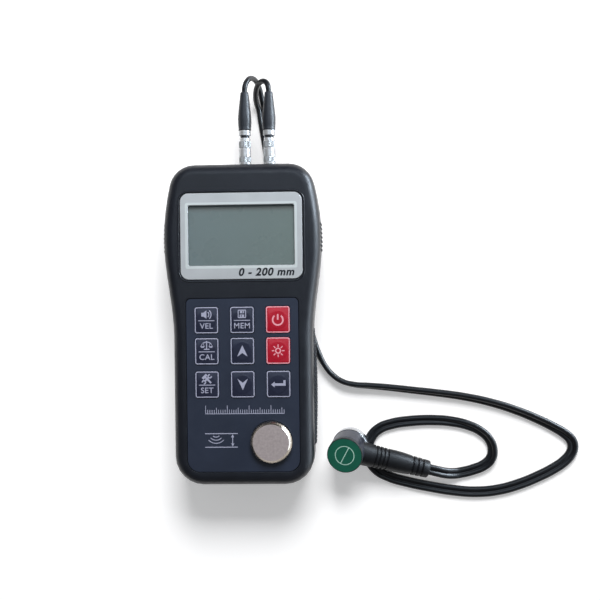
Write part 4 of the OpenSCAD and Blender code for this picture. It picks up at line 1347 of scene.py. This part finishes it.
class GAUGE_OT_inner_parts(bpy.types.Operator):
    """Give the CAD nodes that stay their finishes"""

    bl_idname = "gauge.inner_parts"
    bl_label = "Inner parts"

    def execute(self, context):
        def grey(*levels):
            return [linear(c) for c in levels]

        steel = finish("zinc_steel", grey(168, 170, 174), rough=0.34, metal=1, vary=0.08, vary_size=1.5, grain=0.08)
        brass = finish("socket_plating", grey(190, 186, 176), rough=0.28, metal=1, vary=0.06, vary_size=2, grain=0.06)
        board = finish("board_mask", grey(24, 84, 52), rough=0.38, vary=0.16, vary_size=2.2, grain=0.1)
        chip = finish("chip_resin", grey(34, 34, 38), rough=0.55, vary=0.1, vary_size=1.2, grain=0.2, grain_size=0.1)
        white = finish("holder_plastic", grey(226, 226, 221), rough=0.48, vary=0.04, vary_size=5, grain=0.1)
        diffuser = finish("light_guide", grey(220, 226, 220), rough=0.3, vary=0.05, vary_size=3)
        rubber = finish("seal_rubber", grey(28, 28, 30), rough=0.7, vary=0.12, vary_size=2, grain=0.2)
        cell = finish("cell_wrap", grey(96, 104, 116), rough=0.32, metal=0.5, vary=0.14, vary_size=7)
        spring = finish("spring_nickel", grey(200, 200, 198), rough=0.26, metal=1, vary=0.08, vary_size=1)
        dome = finish("dome_steel", grey(205, 204, 198), rough=0.24, metal=1, vary=0.06, vary_size=1.4)
        wear = finish("wear_resin", grey(92, 82, 64), rough=0.42, vary=0.1, vary_size=1.6, grain=0.1)
        cork = finish("barrier_cork", grey(190, 160, 112), rough=0.85, vary=0.3, vary_size=0.5, grain=0.4)
        shaft = finish("plug_shaft_dark", grey(52, 54, 58), rough=0.4, metal=0.6, vary=0.1, vary_size=1.5)
        damper = finish("damper_resin", grey(48, 50, 54), rough=0.6, vary=0.15, vary_size=0.8, grain=0.2)
        looks = {steel: ("case_screws", "board_screws"), brass: ("socket_left", "socket_right", "socket_nuts"),
                 shaft: ("plug_body_left", "plug_body_right"), board: ("main_board",),
                 chip: ("board_chips",), white: ("lcd_holder",), diffuser: ("lcd_backlight",),
                 rubber: ("case_gasket",), cell: ("cell_left", "cell_right"),
                 spring: ("battery_springs", "battery_plates"), dome: ("snap_domes",), wear: ("probe_faces",),
                 cork: ("probe_barrier",), damper: ("probe_damper",)}
        for look, names in looks.items():
            for name in names:
                painted(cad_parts[name], look)
        bare = [n for n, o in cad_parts.items() if not o.hide_render and not any(n in v for v in looks.values())]
        if bare:
            raise RuntimeError("no finish for %s" % ", ".join(bare))
        return {"FINISHED"}


class GAUGE_PT_panel(bpy.types.Panel):
    """Lists the pieces and their settings"""

    bl_idname = "GAUGE_PT_panel"
    bl_label = "Thickness gauge"
    bl_space_type = "VIEW_3D"
    bl_region_type = "UI"
    bl_category = "Gauge"

    def draw(self, context):
        for name, group in SETTINGS.items():
            box = self.layout.box()
            box.label(text=group.__doc__)
            for prop in group.__annotations__:
                box.prop(getattr(context.scene, name), prop)
        for step in STEPS:
            self.layout.operator(step.bl_idname)


SETTINGS = {"gauge_case": CaseSettings, "gauge_display": DisplaySettings, "gauge_keypad": KeypadSettings,
            "gauge_disc": DiscSettings, "gauge_plug": PlugSettings, "gauge_probe": ProbeSettings,
            "gauge_cord": CordSettings, "gauge_stage": StageSettings}
STEPS = (GAUGE_OT_stage, GAUGE_OT_cords, GAUGE_OT_case, GAUGE_OT_grip_dots, GAUGE_OT_display, GAUGE_OT_keypad,
         GAUGE_OT_key_prints, GAUGE_OT_panel_prints, GAUGE_OT_test_disc, GAUGE_OT_plugs, GAUGE_OT_probe,
         GAUGE_OT_inner_parts)


def register():
    for group in SETTINGS.values():
        bpy.utils.register_class(group)
    for step in STEPS:
        bpy.utils.register_class(step)
    bpy.utils.register_class(GAUGE_PT_panel)
    for name, group in SETTINGS.items():
        setattr(bpy.types.Scene, name, PointerProperty(type=group))


def unregister():
    for name in SETTINGS:
        delattr(bpy.types.Scene, name)
    bpy.utils.unregister_class(GAUGE_PT_panel)
    for cls in reversed(STEPS + tuple(SETTINGS.values())):
        bpy.utils.unregister_class(cls)


def main():
    register()
    bpy.ops.gauge.stage()
    bpy.ops.gauge.cords()
    bpy.ops.gauge.case()
    bpy.ops.gauge.grip_dots()
    bpy.ops.gauge.display()
    bpy.ops.gauge.keypad()
    bpy.ops.gauge.key_prints()
    bpy.ops.gauge.panel_prints()
    bpy.ops.gauge.test_disc()
    bpy.ops.gauge.plugs()
    bpy.ops.gauge.probe()
    bpy.ops.gauge.inner_parts()


if __name__ == "__main__":
    main()
